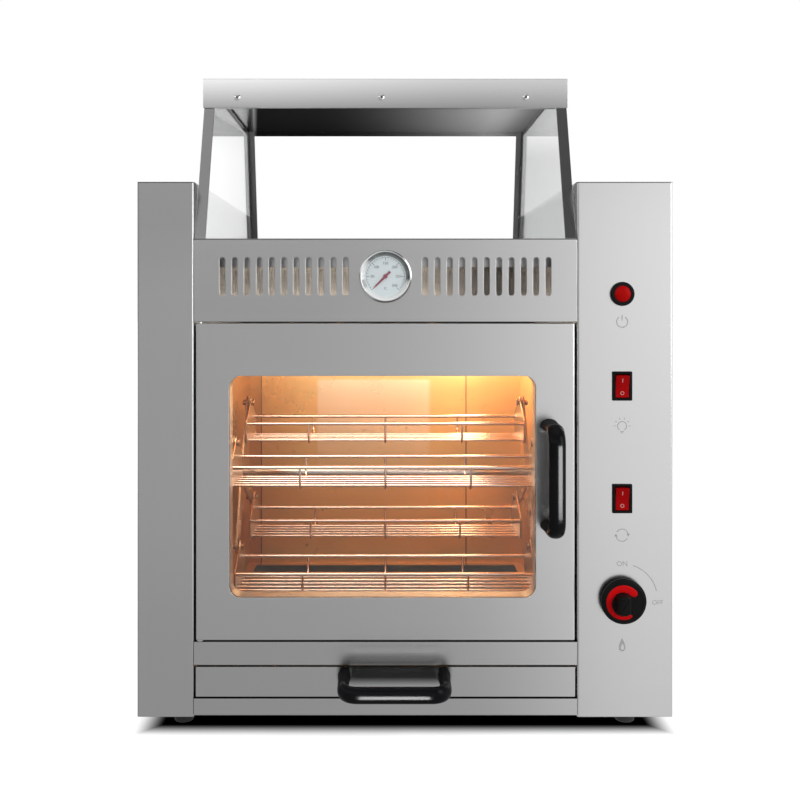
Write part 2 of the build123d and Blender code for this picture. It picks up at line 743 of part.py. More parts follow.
header_screw_z = Z_ROOF_TOP - HEADER_SCREW_DROP
with BuildPart() as canopy_screws:
    # Domed heads on the header, and on the glass beside each rear post.
    for shift in (-HEADER_SCREW_OFFSET, 0, HEADER_SCREW_OFFSET):
        with BuildSketch(front(ROOF_FRONT)):
            with Locations((X_CENTRE + HEADER_SCREW_SHIFT + shift, header_screw_z)):
                Circle(SCREW_HEAD_RADIUS)
        extrude(amount=SCREW_HEAD)
    for x_outer, side in canopy_sides:
        x_glass = x_outer + side * (SHEET + CANOPY_GLASS)
        for z in (GLASS_SCREW_UPPER, GLASS_SCREW_LOWER):
            with BuildSketch(across(x_glass)):
                with Locations((post_back(z) - PILLAR_DEPTH / 2, z)):
                    Circle(SCREW_HEAD_RADIUS)
            extrude(amount=side * SCREW_HEAD)
canopy_screws.part.label = "canopy_screws"
export_step(canopy_screws.part, "parts/canopy_screws.step")

# --------------------------------------------------------------------------
# Thermometer
# --------------------------------------------------------------------------

dial_face = CASE_WALL + DIAL_THICKNESS
glass_seat = BEZEL_HEIGHT - DIAL_GLASS - CASE_WALL
with BuildPart() as thermometer_case:
    # Round case with a rolled chrome bezel, flat against the panel.
    add(
        turned_out_of_front(
            X_CENTRE,
            Z_SLOTS,
            [
                (0, PROBE_RADIUS),
                (0, BEZEL_RADIUS - BEZEL_FOOT_CHAMFER),
                (BEZEL_FOOT_CHAMFER, BEZEL_RADIUS),
                (BEZEL_HEIGHT - BEZEL_ROLL, BEZEL_RADIUS),
                (BEZEL_HEIGHT, BEZEL_RADIUS - BEZEL_ROLL),
                (BEZEL_HEIGHT, DIAL_RADIUS),
                (BEZEL_HEIGHT - CASE_WALL, DIAL_RADIUS - BEZEL_LIP),
                (BEZEL_HEIGHT - CASE_WALL, DIAL_RADIUS + CASE_WALL),
                (CASE_WALL, DIAL_RADIUS + CASE_WALL),
                (CASE_WALL, PROBE_RADIUS),
            ],
        )
    )
thermometer_case.part.label = "thermometer_case"
export_step(thermometer_case.part, "parts/thermometer_case.step")

with BuildPart() as thermometer_dial:
    with BuildSketch(front(-CASE_WALL)):
        with Locations((X_CENTRE, Z_SLOTS)):
            Circle(DIAL_RADIUS + CASE_WALL)
            Circle(POINTER_PIN_RADIUS + SHAFT_CLEARANCE, mode=Mode.SUBTRACT)
    extrude(amount=DIAL_THICKNESS)
thermometer_dial.part.label = "thermometer_dial"
export_step(thermometer_dial.part, "parts/thermometer_dial.step")

with BuildPart() as thermometer_glass:
    with BuildSketch(front(-glass_seat)):
        with Locations((X_CENTRE, Z_SLOTS)):
            Circle(DIAL_RADIUS + CASE_WALL)
    extrude(amount=DIAL_GLASS)
thermometer_glass.part.label = "thermometer_glass"
export_step(thermometer_glass.part, "parts/thermometer_glass.step")

with BuildPart() as thermometer_probe:
    # Stem through the panel, with a nut behind the sheet.
    with BuildSketch(front(-CASE_WALL)):
        with Locations((X_CENTRE, Z_SLOTS)):
            Circle(PROBE_RADIUS)
            Circle(POINTER_PIN_RADIUS + SHAFT_CLEARANCE, mode=Mode.SUBTRACT)
    extrude(amount=-(PROBE_LENGTH + CASE_WALL))
    with BuildSketch(front(SHEET)):
        with Locations((X_CENTRE, Z_SLOTS)):
            RegularPolygon(PROBE_NUT_RADIUS, 6)
            Circle(PROBE_RADIUS, mode=Mode.SUBTRACT)
    extrude(amount=-PROBE_NUT)
thermometer_probe.part.label = "thermometer_probe"
export_step(thermometer_probe.part, "parts/thermometer_probe.step")

with BuildPart() as thermometer_pointer:
    # Tapered hand on a round hub, turned to the scale's first mark.
    with BuildSketch(front(-(dial_face + POINTER_GAP))):
        with Locations(Location((X_CENTRE, Z_SLOTS, 0), (0, 0, POINTER_REST_ANGLE))):
            Polygon(
                (-POINTER_TAIL, -POINTER_WIDTH / 2),
                (POINTER_LENGTH, -0.3),
                (POINTER_LENGTH, 0.3),
                (-POINTER_TAIL, POINTER_WIDTH / 2),
                align=None,
            )
            Circle(POINTER_WIDTH)
    extrude(amount=POINTER_THICKNESS)
    with BuildSketch(front(-(dial_face + POINTER_GAP))):
        with Locations((X_CENTRE, Z_SLOTS)):
            Circle(POINTER_PIN_RADIUS)
    extrude(amount=-(dial_face + POINTER_GAP))
thermometer_pointer.part.label = "thermometer_pointer"
export_step(thermometer_pointer.part, "parts/thermometer_pointer.step")

# --------------------------------------------------------------------------
# Door
# --------------------------------------------------------------------------

door_centre_z = (Z_DOOR + Z_DOOR_TOP) / 2
window_x = X_CENTRE + WINDOW_SHIFT_X
window_z = door_centre_z + WINDOW_SHIFT_Z

with BuildPart() as door_shell:
    # Outer skin folded back on all four sides, with the window cut out.
    with BuildSketch(front()):
        span(X_PANEL_LEFT, X_PANEL_RIGHT, Z_DOOR, Z_DOOR_TOP)
    extrude(amount=-DOOR_THICKNESS)
    fillet(door_shell.edges().filter_by(Axis.Z).group_by(Axis.Y)[0], DOOR_EDGE_RADIUS)
    offset(amount=-SHEET, openings=door_shell.faces().sort_by(Axis.Y)[-1])
    with BuildSketch(front()):
        with Locations((window_x, window_z)):
            RectangleRounded(WINDOW_WIDTH, WINDOW_HEIGHT, WINDOW_CORNER)
    extrude(amount=-SHEET, mode=Mode.SUBTRACT)
    for z in (Z_DOOR, Z_DOOR_TOP):
        with Locations((hinge_x, hinge_y, z)):
            Cylinder(HINGE_PIN_RADIUS, 4 * SHEET, mode=Mode.SUBTRACT)
door_shell.part.label = "door_shell"
export_step(door_shell.part, "parts/door_shell.step")

collar_width = WINDOW_WIDTH + 2 * SHEET
collar_height = WINDOW_HEIGHT + 2 * SHEET
with BuildPart() as door_inner_panel:
    # Back sheet of the door, with a collar round the window that clamps the glass.
    with BuildSketch(front(DOOR_THICKNESS - SHEET)):
        span(X_PANEL_LEFT + SHEET, X_PANEL_RIGHT - SHEET, Z_DOOR + SHEET, Z_DOOR_TOP - SHEET)
    extrude(amount=-SHEET)
    with BuildSketch(front(SHEET + DOOR_GLASS)):
        with Locations((window_x, window_z)):
            RectangleRounded(collar_width, collar_height, WINDOW_CORNER + SHEET)
    extrude(amount=-(DOOR_THICKNESS - SHEET - DOOR_GLASS))
    with BuildSketch(front(SHEET + DOOR_GLASS)):
        with Locations((window_x, window_z)):
            RectangleRounded(WINDOW_WIDTH, WINDOW_HEIGHT, WINDOW_CORNER)
    extrude(amount=-(DOOR_THICKNESS - SHEET - DOOR_GLASS), mode=Mode.SUBTRACT)
door_inner_panel.part.label = "door_inner_panel"
export_step(door_inner_panel.part, "parts/door_inner_panel.step")

with BuildPart() as door_glass:
    with BuildSketch(front(SHEET)):
        with Locations((window_x, window_z)):
            RectangleRounded(WINDOW_WIDTH + 2 * GLASS_LAP, WINDOW_HEIGHT + 2 * GLASS_LAP, GLASS_LAP / 2)
    extrude(amount=-DOOR_GLASS)
door_glass.part.label = "door_glass"
export_step(door_glass.part, "parts/door_glass.step")

seal_left = CHAMBER_LEFT + SEAL_INSET
seal_right = CHAMBER_RIGHT - SEAL_INSET
seal_bottom = Z_DOOR + SEAL_INSET
seal_top = Z_CHAMBER_TOP - SEAL_INSET
with BuildPart() as door_seal:
    # Flat rubber ring that meets the chamber's rim.
    with BuildSketch(front(DOOR_THICKNESS)):
        span(seal_left, seal_right, seal_bottom, seal_top)
        span(
            seal_left + SEAL_WIDTH,
            seal_right - SEAL_WIDTH,
            seal_bottom + SEAL_WIDTH,
            seal_top - SEAL_WIDTH,
            mode=Mode.SUBTRACT,
        )
    extrude(amount=-(SEAM - RUNNING_GAP))
door_seal.part.label = "door_seal"
export_step(door_seal.part, "parts/door_seal.step")

door_handle_x = X_PANEL_RIGHT - DOOR_HANDLE_FROM_EDGE
door_handle_z = door_centre_z + DOOR_HANDLE_RISE
upright_grip = Plane(origin=(door_handle_x, Y_FRONT, door_handle_z), x_dir=(0, 0, 1), z_dir=(0, -1, 0))
with BuildPart() as door_handle:
    with Locations(upright_grip.location):
        add(bow_handle())
door_handle.part.label = "door_handle"
export_step(door_handle.part, "parts/door_handle.step")

pin_reach = SEAM + SHEET + HINGE_BRACKET_THICKNESS - 1.0
with BuildPart() as door_hinge_pins:
    # One pin up and one down from the door; the lower one has a thrust collar.
    with BuildSketch(Plane.XY.offset(Z_DOOR_TOP - HINGE_PIN_EMBED)):
        with Locations((hinge_x, hinge_y)):
            Circle(HINGE_PIN_RADIUS)
    extrude(amount=HINGE_PIN_EMBED + pin_reach)
    with BuildSketch(Plane.XY.offset(Z_DOOR - pin_reach)):
        with Locations((hinge_x, hinge_y)):
            Circle(HINGE_PIN_RADIUS)
    extrude(amount=HINGE_PIN_EMBED + pin_reach)
    with BuildSketch(Plane.XY.offset(Z_DOOR)):
        with Locations((hinge_x, hinge_y)):
            Circle(HINGE_PIN_RADIUS + 2)
    extrude(amount=-(SEAM - RUNNING_GAP))
door_hinge_pins.part.label = "door_hinge_pins"
export_step(door_hinge_pins.part, "parts/door_hinge_pins.step")

with BuildPart() as door_hinge_brackets:
    # Bearing plates inside the upper panel and the lower rail.
    for z in (Z_UPPER_PANEL + SHEET, Z_LOWER_RAIL_TOP - SHEET - HINGE_BRACKET_THICKNESS):
        with BuildSketch(Plane.XY.offset(z)):
            span(
                X_OPEN_LEFT,
                X_OPEN_LEFT + HINGE_BRACKET_WIDTH,
                at_depth(SHEET),
                at_depth(PANEL_RETURN),
            )
            with Locations((hinge_x, hinge_y)):
                Circle(HINGE_PIN_RADIUS + SHAFT_CLEARANCE, mode=Mode.SUBTRACT)
        extrude(amount=HINGE_BRACKET_THICKNESS)
door_hinge_brackets.part.label = "door_hinge_brackets"
export_step(door_hinge_brackets.part, "parts/door_hinge_brackets.step")

# --------------------------------------------------------------------------
# Crumb drawer
# --------------------------------------------------------------------------

tray_floor = Z_DRAWER + RUNNER_SHEET + RUNNING_GAP
tray_left = X_OPEN_LEFT + RUNNER_SHEET + RUNNING_GAP
tray_right = X_OPEN_RIGHT - RUNNER_SHEET - RUNNING_GAP

with BuildPart() as drawer_front:
    # Folded front plate with short returns.
    with BuildSketch(front()):
        span(X_PANEL_LEFT, X_PANEL_RIGHT, Z_DRAWER, Z_DRAWER_TOP)
    extrude(amount=-DRAWER_RETURN)
    fillet(drawer_front.edges().filter_by(Axis.Z).group_by(Axis.Y)[0], 1.5)
    offset(amount=-SHEET, openings=drawer_front.faces().sort_by(Axis.Y)[-1])
drawer_front.part.label = "drawer_front"
export_step(drawer_front.part, "parts/drawer_front.step")

with BuildPart() as drawer_tray:
    # Open tray that catches crumbs and drips.
    with BuildSketch(Plane.XY.offset(tray_floor)):
        span(tray_left, tray_right, at_depth(DRAWER_RETURN), at_depth(DRAWER_RETURN + TRAY_LENGTH))
    extrude(amount=TRAY_HEIGHT)
    offset(amount=-SHEET, openings=drawer_tray.faces().sort_by(Axis.Z)[-1])
drawer_tray.part.label = "drawer_tray"
export_step(drawer_tray.part, "parts/drawer_tray.step")

drawer_handle_x = X_CENTRE + DRAWER_HANDLE_SHIFT
drawer_handle_z = (Z_DRAWER + Z_DRAWER_TOP) / 2 + DRAWER_HANDLE_RISE
level_grip = Plane(origin=(drawer_handle_x, Y_FRONT, drawer_handle_z), x_dir=(1, 0, 0), z_dir=(0, -1, 0))
with BuildPart() as drawer_handle:
    with Locations(level_grip.location):
        add(bow_handle())
drawer_handle.part.label = "drawer_handle"
export_step(drawer_handle.part, "parts/drawer_handle.step")

with BuildPart() as drawer_runners:
    # Angle rails on the columns' inner walls; the tray slides on their lips.
    for x_wall, side in ((X_OPEN_LEFT, 1), (X_OPEN_RIGHT, -1)):
        with BuildSketch(front(RUNNER_START)):
            x_lip = x_wall + side * RUNNER_LIP
            x_web = x_wall + side * RUNNER_SHEET
            span(min(x_wall, x_lip), max(x_wall, x_lip), Z_DRAWER, Z_DRAWER + RUNNER_SHEET)
            span(min(x_wall, x_web), max(x_wall, x_web), Z_DRAWER, Z_DRAWER + RUNNER_HEIGHT)
        extrude(amount=-RUNNER_LENGTH)
drawer_runners.part.label = "drawer_runners"
export_step(drawer_runners.part, "parts/drawer_runners.step")

# --------------------------------------------------------------------------
# Heating chamber
# --------------------------------------------------------------------------

lamp_x = CHAMBER_RIGHT - LAMP_FROM_WALL
lamp_z = Z_CHAMBER_TOP - LAMP_BELOW_TOP

with BuildPart() as chamber_liner:
    # Five-sided sheet box, open below over the burners and the drawer.
    with BuildSketch(Plane.XY.offset(Z_CHAMBER)):
        span(CHAMBER_LEFT, CHAMBER_RIGHT, at_depth(CHAMBER_FRONT), at_depth(CHAMBER_BACK))
    extrude(amount=CHAMBER_HEIGHT)
    chamber_open = [chamber_liner.faces().sort_by(Axis.Z)[0], chamber_liner.faces().sort_by(Axis.Y)[0]]
    offset(amount=-SHEET, openings=chamber_open)
    # Rim that the door's seal meets: narrow at the sides and top, a deep sill below.
    with BuildSketch(front(CHAMBER_FRONT)):
        span(CHAMBER_LEFT, CHAMBER_RIGHT, Z_CHAMBER, Z_CHAMBER_TOP)
        span(
            CHAMBER_LEFT + RIM_WIDTH,
            CHAMBER_RIGHT - RIM_WIDTH,
            Z_CHAMBER + RIM_SILL,
            Z_CHAMBER_TOP - RIM_WIDTH,
            mode=Mode.SUBTRACT,
        )
    extrude(amount=-SHEET)
    # Ledge turned in round the open bottom.
    with BuildSketch(Plane.XY.offset(Z_CHAMBER)):
        span(CHAMBER_LEFT, CHAMBER_RIGHT, at_depth(CHAMBER_FRONT), at_depth(CHAMBER_BACK))
        span(
            CHAMBER_LEFT + CHAMBER_LEDGE,
            CHAMBER_RIGHT - CHAMBER_LEDGE,
            at_depth(CHAMBER_FRONT + CHAMBER_LEDGE),
            at_depth(CHAMBER_BACK - CHAMBER_LEDGE),
            mode=Mode.SUBTRACT,
        )
    extrude(amount=SHEET)
    # Vents in the top let warm air rise under the display deck.
    with BuildSketch(Plane.XY.offset(Z_CHAMBER_TOP)):
        with Locations((X_CENTRE, Y_WHEEL)):
            with GridLocations(VENT_PITCH, 0, VENT_COUNT, 1):
                SlotOverall(VENT_LENGTH, VENT_WIDTH, rotation=90)
    extrude(amount=-SHEET, mode=Mode.SUBTRACT)
    # Bearing holes in both side walls, burner holes in the right one.
    with BuildSketch(across(CHAMBER_LEFT)):
        with Locations((Y_WHEEL, Z_WHEEL)):
            Circle(BEARING_BODY_RADIUS)
    extrude(amount=CHAMBER_RIGHT - CHAMBER_LEFT, mode=Mode.SUBTRACT)
    with BuildSketch(across(CHAMBER_RIGHT)):
        with Locations(*[(at_depth(depth), BURNER_HEIGHT) for depth in burner_depths]):
            Circle(BURNER_RADIUS)
    extrude(amount=-SHEET, mode=Mode.SUBTRACT)
chamber_liner.part.label = "chamber_liner"
export_step(chamber_liner.part, "parts/chamber_liner.step")

lamp_back = CHAMBER_BACK - SHEET
with BuildPart() as oven_lamp_holder:
    # Round socket on the chamber's back wall.
    with BuildSketch(front(lamp_back)):
        with Locations((lamp_x, lamp_z)):
            Circle(LAMP_HOLDER_RADIUS)
    extrude(amount=LAMP_HOLDER_DEPTH, taper=12)
oven_lamp_holder.part.label = "oven_lamp_holder"
export_step(oven_lamp_holder.part, "parts/oven_lamp_holder.step")

lamp_mouth = lamp_back - LAMP_HOLDER_DEPTH
with BuildPart() as oven_lamp_bulb:
    # Heat-proof dome over the bulb.
    with BuildSketch(Plane(origin=(lamp_x, at_depth(lamp_mouth), lamp_z), x_dir=(0, -1, 0), z_dir=(1, 0, 0))):
        with BuildLine():
            dome_side = Line((0, 0), (0, LAMP_BULB_RADIUS))
            dome_wall = Line(dome_side @ 1, (LAMP_BULB_NECK, LAMP_BULB_RADIUS))
            dome_top = RadiusArc(dome_wall @ 1, (LAMP_BULB_NECK + LAMP_BULB_RADIUS, 0), LAMP_BULB_RADIUS)
            Line(dome_top @ 1, dome_side @ 0)
        make_face()
    revolve(axis=Axis((lamp_x, 0, lamp_z), (0, -1, 0)))
oven_lamp_bulb.part.label = "oven_lamp_bulb"
export_step(oven_lamp_bulb.part, "parts/oven_lamp_bulb.step")

# --------------------------------------------------------------------------
# Burners and gas line
# --------------------------------------------------------------------------

manifold_x = X_OPEN_RIGHT + MANIFOLD_OFFSET
burner_left = CHAMBER_LEFT + SHEET
burner_right = manifold_x - TEE_LENGTH
burner_length = burner_right - burner_left

with BuildPart() as burner_tubes:
    # Capped tubes across the chamber, with a row of flame ports along the top.
    for depth in burner_depths:
        with BuildSketch(across(burner_left)):
            with Locations((at_depth(depth), BURNER_HEIGHT)):
                Circle(BURNER_RADIUS)
        extrude(amount=burner_length)
        with BuildSketch(across(burner_left + BURNER_WALL)):
            with Locations((at_depth(depth), BURNER_HEIGHT)):
                Circle(BURNER_RADIUS - BURNER_WALL)
        extrude(amount=burner_length, mode=Mode.SUBTRACT)
        with BuildSketch(Plane.XY.offset(BURNER_HEIGHT)):
            with Locations((X_CENTRE, at_depth(depth))):
                with GridLocations(PORT_PITCH, 0, PORT_COUNT, 1):
                    Rectangle(PORT_LENGTH, PORT_WIDTH)
        extrude(amount=BURNER_RADIUS, mode=Mode.SUBTRACT)
burner_tubes.part.label = "burner_tubes"
export_step(burner_tubes.part, "parts/burner_tubes.step")

with BuildPart() as spark_electrode:
    # Ceramic rod from the chamber's right wall to the first burner, with a bare tip.
    spark_y = at_depth(burner_depths[0] - 2 * BURNER_RADIUS)
    spark_z = BURNER_HEIGHT + ELECTRODE_RISE
    with BuildSketch(across(CHAMBER_RIGHT - SHEET)):
        with Locations((spark_y, spark_z)):
            Circle(ELECTRODE_RADIUS)
    extrude(amount=-ELECTRODE_LENGTH)
    with BuildSketch(across(CHAMBER_RIGHT - SHEET)):
        with Locations((spark_y, spark_z)):
            Circle(ELECTRODE_RADIUS / 3)
    extrude(amount=-(ELECTRODE_LENGTH + ELECTRODE_TIP))
spark_electrode.part.label = "spark_electrode"
export_step(spark_electrode.part, "parts/spark_electrode.step")

valve_front = VALVE_SETBACK
valve_back = VALVE_SETBACK + VALVE_DEPTH
valve_middle = (valve_front + valve_back) / 2

with BuildPart() as gas_valve:
    # Valve block with a neck that guides the knob's stem.
    with BuildSketch(front(valve_front)):
        with Locations((CONTROL_X, KNOB_HEIGHT)):
            RectangleRounded(VALVE_SIZE, VALVE_SIZE, VALVE_CORNER)
    extrude(amount=-VALVE_DEPTH)
    with BuildSketch(front(valve_front)):
        with Locations((CONTROL_X, KNOB_HEIGHT)):
            Circle(VALVE_NECK_RADIUS)
    extrude(amount=VALVE_NECK)
    with BuildSketch(front(valve_front - VALVE_NECK)):
        with Locations((CONTROL_X, KNOB_HEIGHT)):
            Circle(COLLAR_RADIUS + SHAFT_CLEARANCE)
    extrude(amount=-VALVE_NECK, mode=Mode.SUBTRACT)
    with BuildSketch(front(valve_front)):
        with Locations((CONTROL_X, KNOB_HEIGHT)):
            Circle(STEM_RADIUS + SHAFT_CLEARANCE)
    extrude(amount=-(STEM_ENTRY + PUSH_TRAVEL + 1), mode=Mode.SUBTRACT)
gas_valve.part.label = "gas_valve"
export_step(gas_valve.part, "parts/gas_valve.step")

manifold_front = at_depth(valve_middle)
manifold_back = at_depth(burner_depths[-1] + 2 * BURNER_RADIUS)
valve_left = CONTROL_X - VALVE_SIZE / 2
valve_bottom = KNOB_HEIGHT - VALVE_SIZE / 2
with BuildPart() as gas_pipe:
    # Supply: hose tail and collar at the back, then a pipe up into the valve.
    with BuildLine() as supply:
        FilletPolyline(
            (CONTROL_X, Y_BACK, INLET_HEIGHT),
            (CONTROL_X, at_depth(valve_middle), INLET_HEIGHT),
            (CONTROL_X, at_depth(valve_middle), valve_bottom),
            radius=PIPE_BEND,
        )
    with BuildSketch(Plane(origin=(CONTROL_X, Y_BACK, INLET_HEIGHT), x_dir=(1, 0, 0), z_dir=(0, -1, 0))):
        Circle(PIPE_RADIUS)
    sweep(path=supply.line)
    with BuildSketch(front(BODY_DEPTH)):
        with Locations((CONTROL_X, INLET_HEIGHT)):
            RegularPolygon(INLET_COLLAR_RADIUS, 6)
    extrude(amount=-INLET_COLLAR)
    with BuildSketch(front(BODY_DEPTH + INLET_COLLAR)):
        with Locations((CONTROL_X, INLET_HEIGHT)):
            Circle(INLET_RADIUS)
    extrude(amount=-INLET_LENGTH)
    # Feed: out of the valve's side, down, and back along the burners.
    with BuildLine() as feed:
        FilletPolyline(
            (valve_left, manifold_front, KNOB_HEIGHT),
            (manifold_x, manifold_front, KNOB_HEIGHT),
            (manifold_x, manifold_front, BURNER_HEIGHT),
            (manifold_x, manifold_back, BURNER_HEIGHT),
            radius=PIPE_BEND,
        )
    with BuildSketch(Plane(origin=(valve_left, manifold_front, KNOB_HEIGHT), x_dir=(0, 1, 0), z_dir=(-1, 0, 0))):
        Circle(MANIFOLD_RADIUS)
    sweep(path=feed.line)
    # A tee for each burner.
    with BuildSketch(across(manifold_x)):
        with Locations(*[(at_depth(depth), BURNER_HEIGHT) for depth in burner_depths]):
            Circle(BURNER_RADIUS)
    extrude(amount=-TEE_LENGTH)
gas_pipe.part.label = "gas_pipe"
export_step(gas_pipe.part, "parts/gas_pipe.step")

with BuildPart() as cable_gland:
    # Cable gland in the back, with its bore right through.
    gland_axis = Axis((GLAND_X, 0, GLAND_HEIGHT), (0, 1, 0))
    gland_plane = Plane(origin=(GLAND_X, Y_BACK, GLAND_HEIGHT), x_dir=(0, 1, 0), z_dir=(1, 0, 0))
    add(
        turned(
            gland_plane,
            gland_axis,
            [
                (-GLAND_IN, GLAND_BORE),
                (GLAND_OUT, GLAND_BORE),
                (GLAND_OUT, GLAND_RADIUS - 2 * GLAND_STEP),
                (GLAND_OUT - GLAND_COLLAR, GLAND_RADIUS - GLAND_STEP / 2),
                (GLAND_COLLAR, GLAND_RADIUS - GLAND_STEP / 2),
                (GLAND_COLLAR, GLAND_RADIUS),
                (0, GLAND_RADIUS),
                (0, GLAND_RADIUS - GLAND_STEP),
                (-SHEET, GLAND_RADIUS - GLAND_STEP),
                (-SHEET, GLAND_RADIUS),
                (-SHEET - GLAND_NUT, GLAND_RADIUS),
                (-SHEET - GLAND_NUT, GLAND_RADIUS - GLAND_STEP),
                (-GLAND_IN, GLAND_RADIUS - GLAND_STEP),
            ],
        )
    )
cable_gland.part.label = "cable_gland"
export_step(cable_gland.part, "parts/cable_gland.step")

# --------------------------------------------------------------------------
# Basket wheel and its drive
# --------------------------------------------------------------------------

bearing_left_in = CHAMBER_LEFT + SHEET
bearing_right_in = CHAMBER_RIGHT - SHEET
bearing_bore = JOURNAL_RADIUS + SHAFT_CLEARANCE
with BuildPart() as shaft_bearings:
    # Flanged bushes, set in the side walls from inside the chamber.
    for face, inward in ((bearing_left_in, 1), (bearing_right_in, -1)):
        add(
            turned_along_x(
                Y_WHEEL,
                Z_WHEEL,
                [
                    (face + inward * BEARING_FLANGE, bearing_bore),
                    (face + inward * BEARING_FLANGE, BEARING_FLANGE_RADIUS),
                    (face, BEARING_FLANGE_RADIUS),
                    (face, BEARING_BODY_RADIUS),
                    (face - inward * (BEARING_LENGTH - BEARING_FLANGE), BEARING_BODY_RADIUS),
                    (face - inward * (BEARING_LENGTH - BEARING_FLANGE), bearing_bore),
                ],
            )
        )
shaft_bearings.part.label = "shaft_bearings"
export_step(shaft_bearings.part, "parts/shaft_bearings.step")

bracket_wall = X_OPEN_RIGHT + SHEET
bracket_face = bracket_wall + MOTOR_STANDOFF
shaft_left = bearing_left_in - (BEARING_LENGTH - BEARING_FLANGE)
shaft_right = bracket_face + BRACKET_SHEET
coupling_start = bearing_right_in + BEARING_LENGTH - BEARING_FLANGE + 1.0
coupling_end = bracket_face - 1.0
with BuildPart() as wheel_shaft:
    # Thick middle between the wheel plates, journals at the ends, coupling and drive stub.
    add(
        turned_along_x(
            Y_WHEEL,
            Z_WHEEL,
            [
                (shaft_left, 0),
                (shaft_left, JOURNAL_RADIUS),
                (WHEEL_LEFT + WHEEL_PLATE, JOURNAL_RADIUS),
                (WHEEL_LEFT + WHEEL_PLATE, SHAFT_RADIUS),
                (WHEEL_RIGHT - WHEEL_PLATE, SHAFT_RADIUS),
                (WHEEL_RIGHT - WHEEL_PLATE, JOURNAL_RADIUS),
                (coupling_start, JOURNAL_RADIUS),
                (coupling_start, COUPLING_RADIUS),
                (coupling_end, COUPLING_RADIUS),
                (coupling_end, STUB_RADIUS),
                (shaft_right + STUB_LENGTH, STUB_RADIUS),
                (shaft_right + STUB_LENGTH, 0),
            ],
        )
    )
wheel_shaft.part.label = "wheel_shaft"
export_step(wheel_shaft.part, "parts/wheel_shaft.step")

pivot_angles = [WHEEL_PHASE + 360.0 / BASKET_COUNT * i for i in range(BASKET_COUNT)]
arm_side_angle = degrees(atan2(WHEEL_RADIUS, (ARM_ROOT - ARM_TIP) / 2))


def wheel_plate(x_outer, inward):
    """Spider plate with one tapered arm for each basket, and a hub on its outer side."""
    with BuildPart() as spider:
        with BuildSketch(across(x_outer)):
            with Locations((Y_WHEEL, Z_WHEEL)):
                Circle(ARM_ROOT / 2 + SPIDER_LAND)
                with PolarLocations(WHEEL_RADIUS / 2, BASKET_COUNT, WHEEL_PHASE):
                    Trapezoid(ARM_ROOT, WHEEL_RADIUS, arm_side_angle, rotation=-90)
                with PolarLocations(WHEEL_RADIUS, BASKET_COUNT, WHEEL_PHASE):
                    Circle(ARM_TIP / 2)
                    Circle(PIN_RADIUS, mode=Mode.SUBTRACT)
                with PolarLocations(WHEEL_RADIUS * 0.6, BASKET_COUNT, WHEEL_PHASE):
                    Circle(ARM_HOLE_RADIUS, mode=Mode.SUBTRACT)
        extrude(amount=inward * WHEEL_PLATE)
        with BuildSketch(across(x_outer)):
            with Locations((Y_WHEEL, Z_WHEEL)):
                Circle(HUB_RADIUS)
        extrude(amount=-inward * HUB_LENGTH)
        with BuildSketch(across(x_outer - inward * HUB_LENGTH)):
            with Locations((Y_WHEEL, Z_WHEEL)):
                Circle(JOURNAL_RADIUS)
        extrude(amount=inward * (HUB_LENGTH + WHEEL_PLATE), mode=Mode.SUBTRACT)
    return spider.part


with BuildPart() as wheel_plate_left:
    add(wheel_plate(WHEEL_LEFT, 1))
wheel_plate_left.part.label = "wheel_plate_left"
export_step(wheel_plate_left.part, "parts/wheel_plate_left.step")

with BuildPart() as wheel_plate_right:
    add(wheel_plate(WHEEL_RIGHT, -1))
wheel_plate_right.part.label = "wheel_plate_right"
export_step(wheel_plate_right.part, "parts/wheel_plate_right.step")


def pivot(angle):
    """Y and Z of a basket pin at an angle round the wheel, 0 to the back and 90 up."""
    return (
        Y_WHEEL + WHEEL_RADIUS * cos(radians(angle)),
        Z_WHEEL + WHEEL_RADIUS * sin(radians(angle)),
    )


pin_inner_end = WHEEL_PLATE + PIN_SIDE_GAP + BASKET_END + PIN_SIDE_GAP
with BuildPart() as basket_pins:
    # Each pin is clamped in the wheel plate by a wing nut and keeps its basket on by a head.
    for x_outer, inward in ((WHEEL_LEFT, 1), (WHEEL_RIGHT, -1)):
        for angle in pivot_angles:
            with BuildSketch(across(x_outer - inward * NUT_HEIGHT)):
                with Locations(pivot(angle)):
                    Circle(PIN_RADIUS)
            extrude(amount=inward * (NUT_HEIGHT + pin_inner_end))
            with BuildSketch(across(x_outer + inward * pin_inner_end)):
                with Locations(pivot(angle)):
                    Circle(PIN_HEAD_RADIUS)
            extrude(amount=inward * PIN_HEAD)
            with BuildSketch(across(x_outer)):
                with Locations(pivot(angle)):
                    Circle(NUT_RADIUS)
                    Rectangle(WING_SPAN, WING_THICKNESS)
            extrude(amount=-inward * NUT_HEIGHT)
basket_pins.part.label = "basket_pins"
export_step(basket_pins.part, "parts/basket_pins.step")

basket_floor = -(BASKET_DROP + BASKET_WALL)
rib_floor = basket_floor - RIB_SINK
end_edge = BASKET_HALF_DEPTH + RAIL_RADIUS + END_SIDE_MARGIN
end_top = -BASKET_DROP + RAIL_RADIUS + END_TOP_MARGIN
end_bottom = rib_floor - RIB_RADIUS


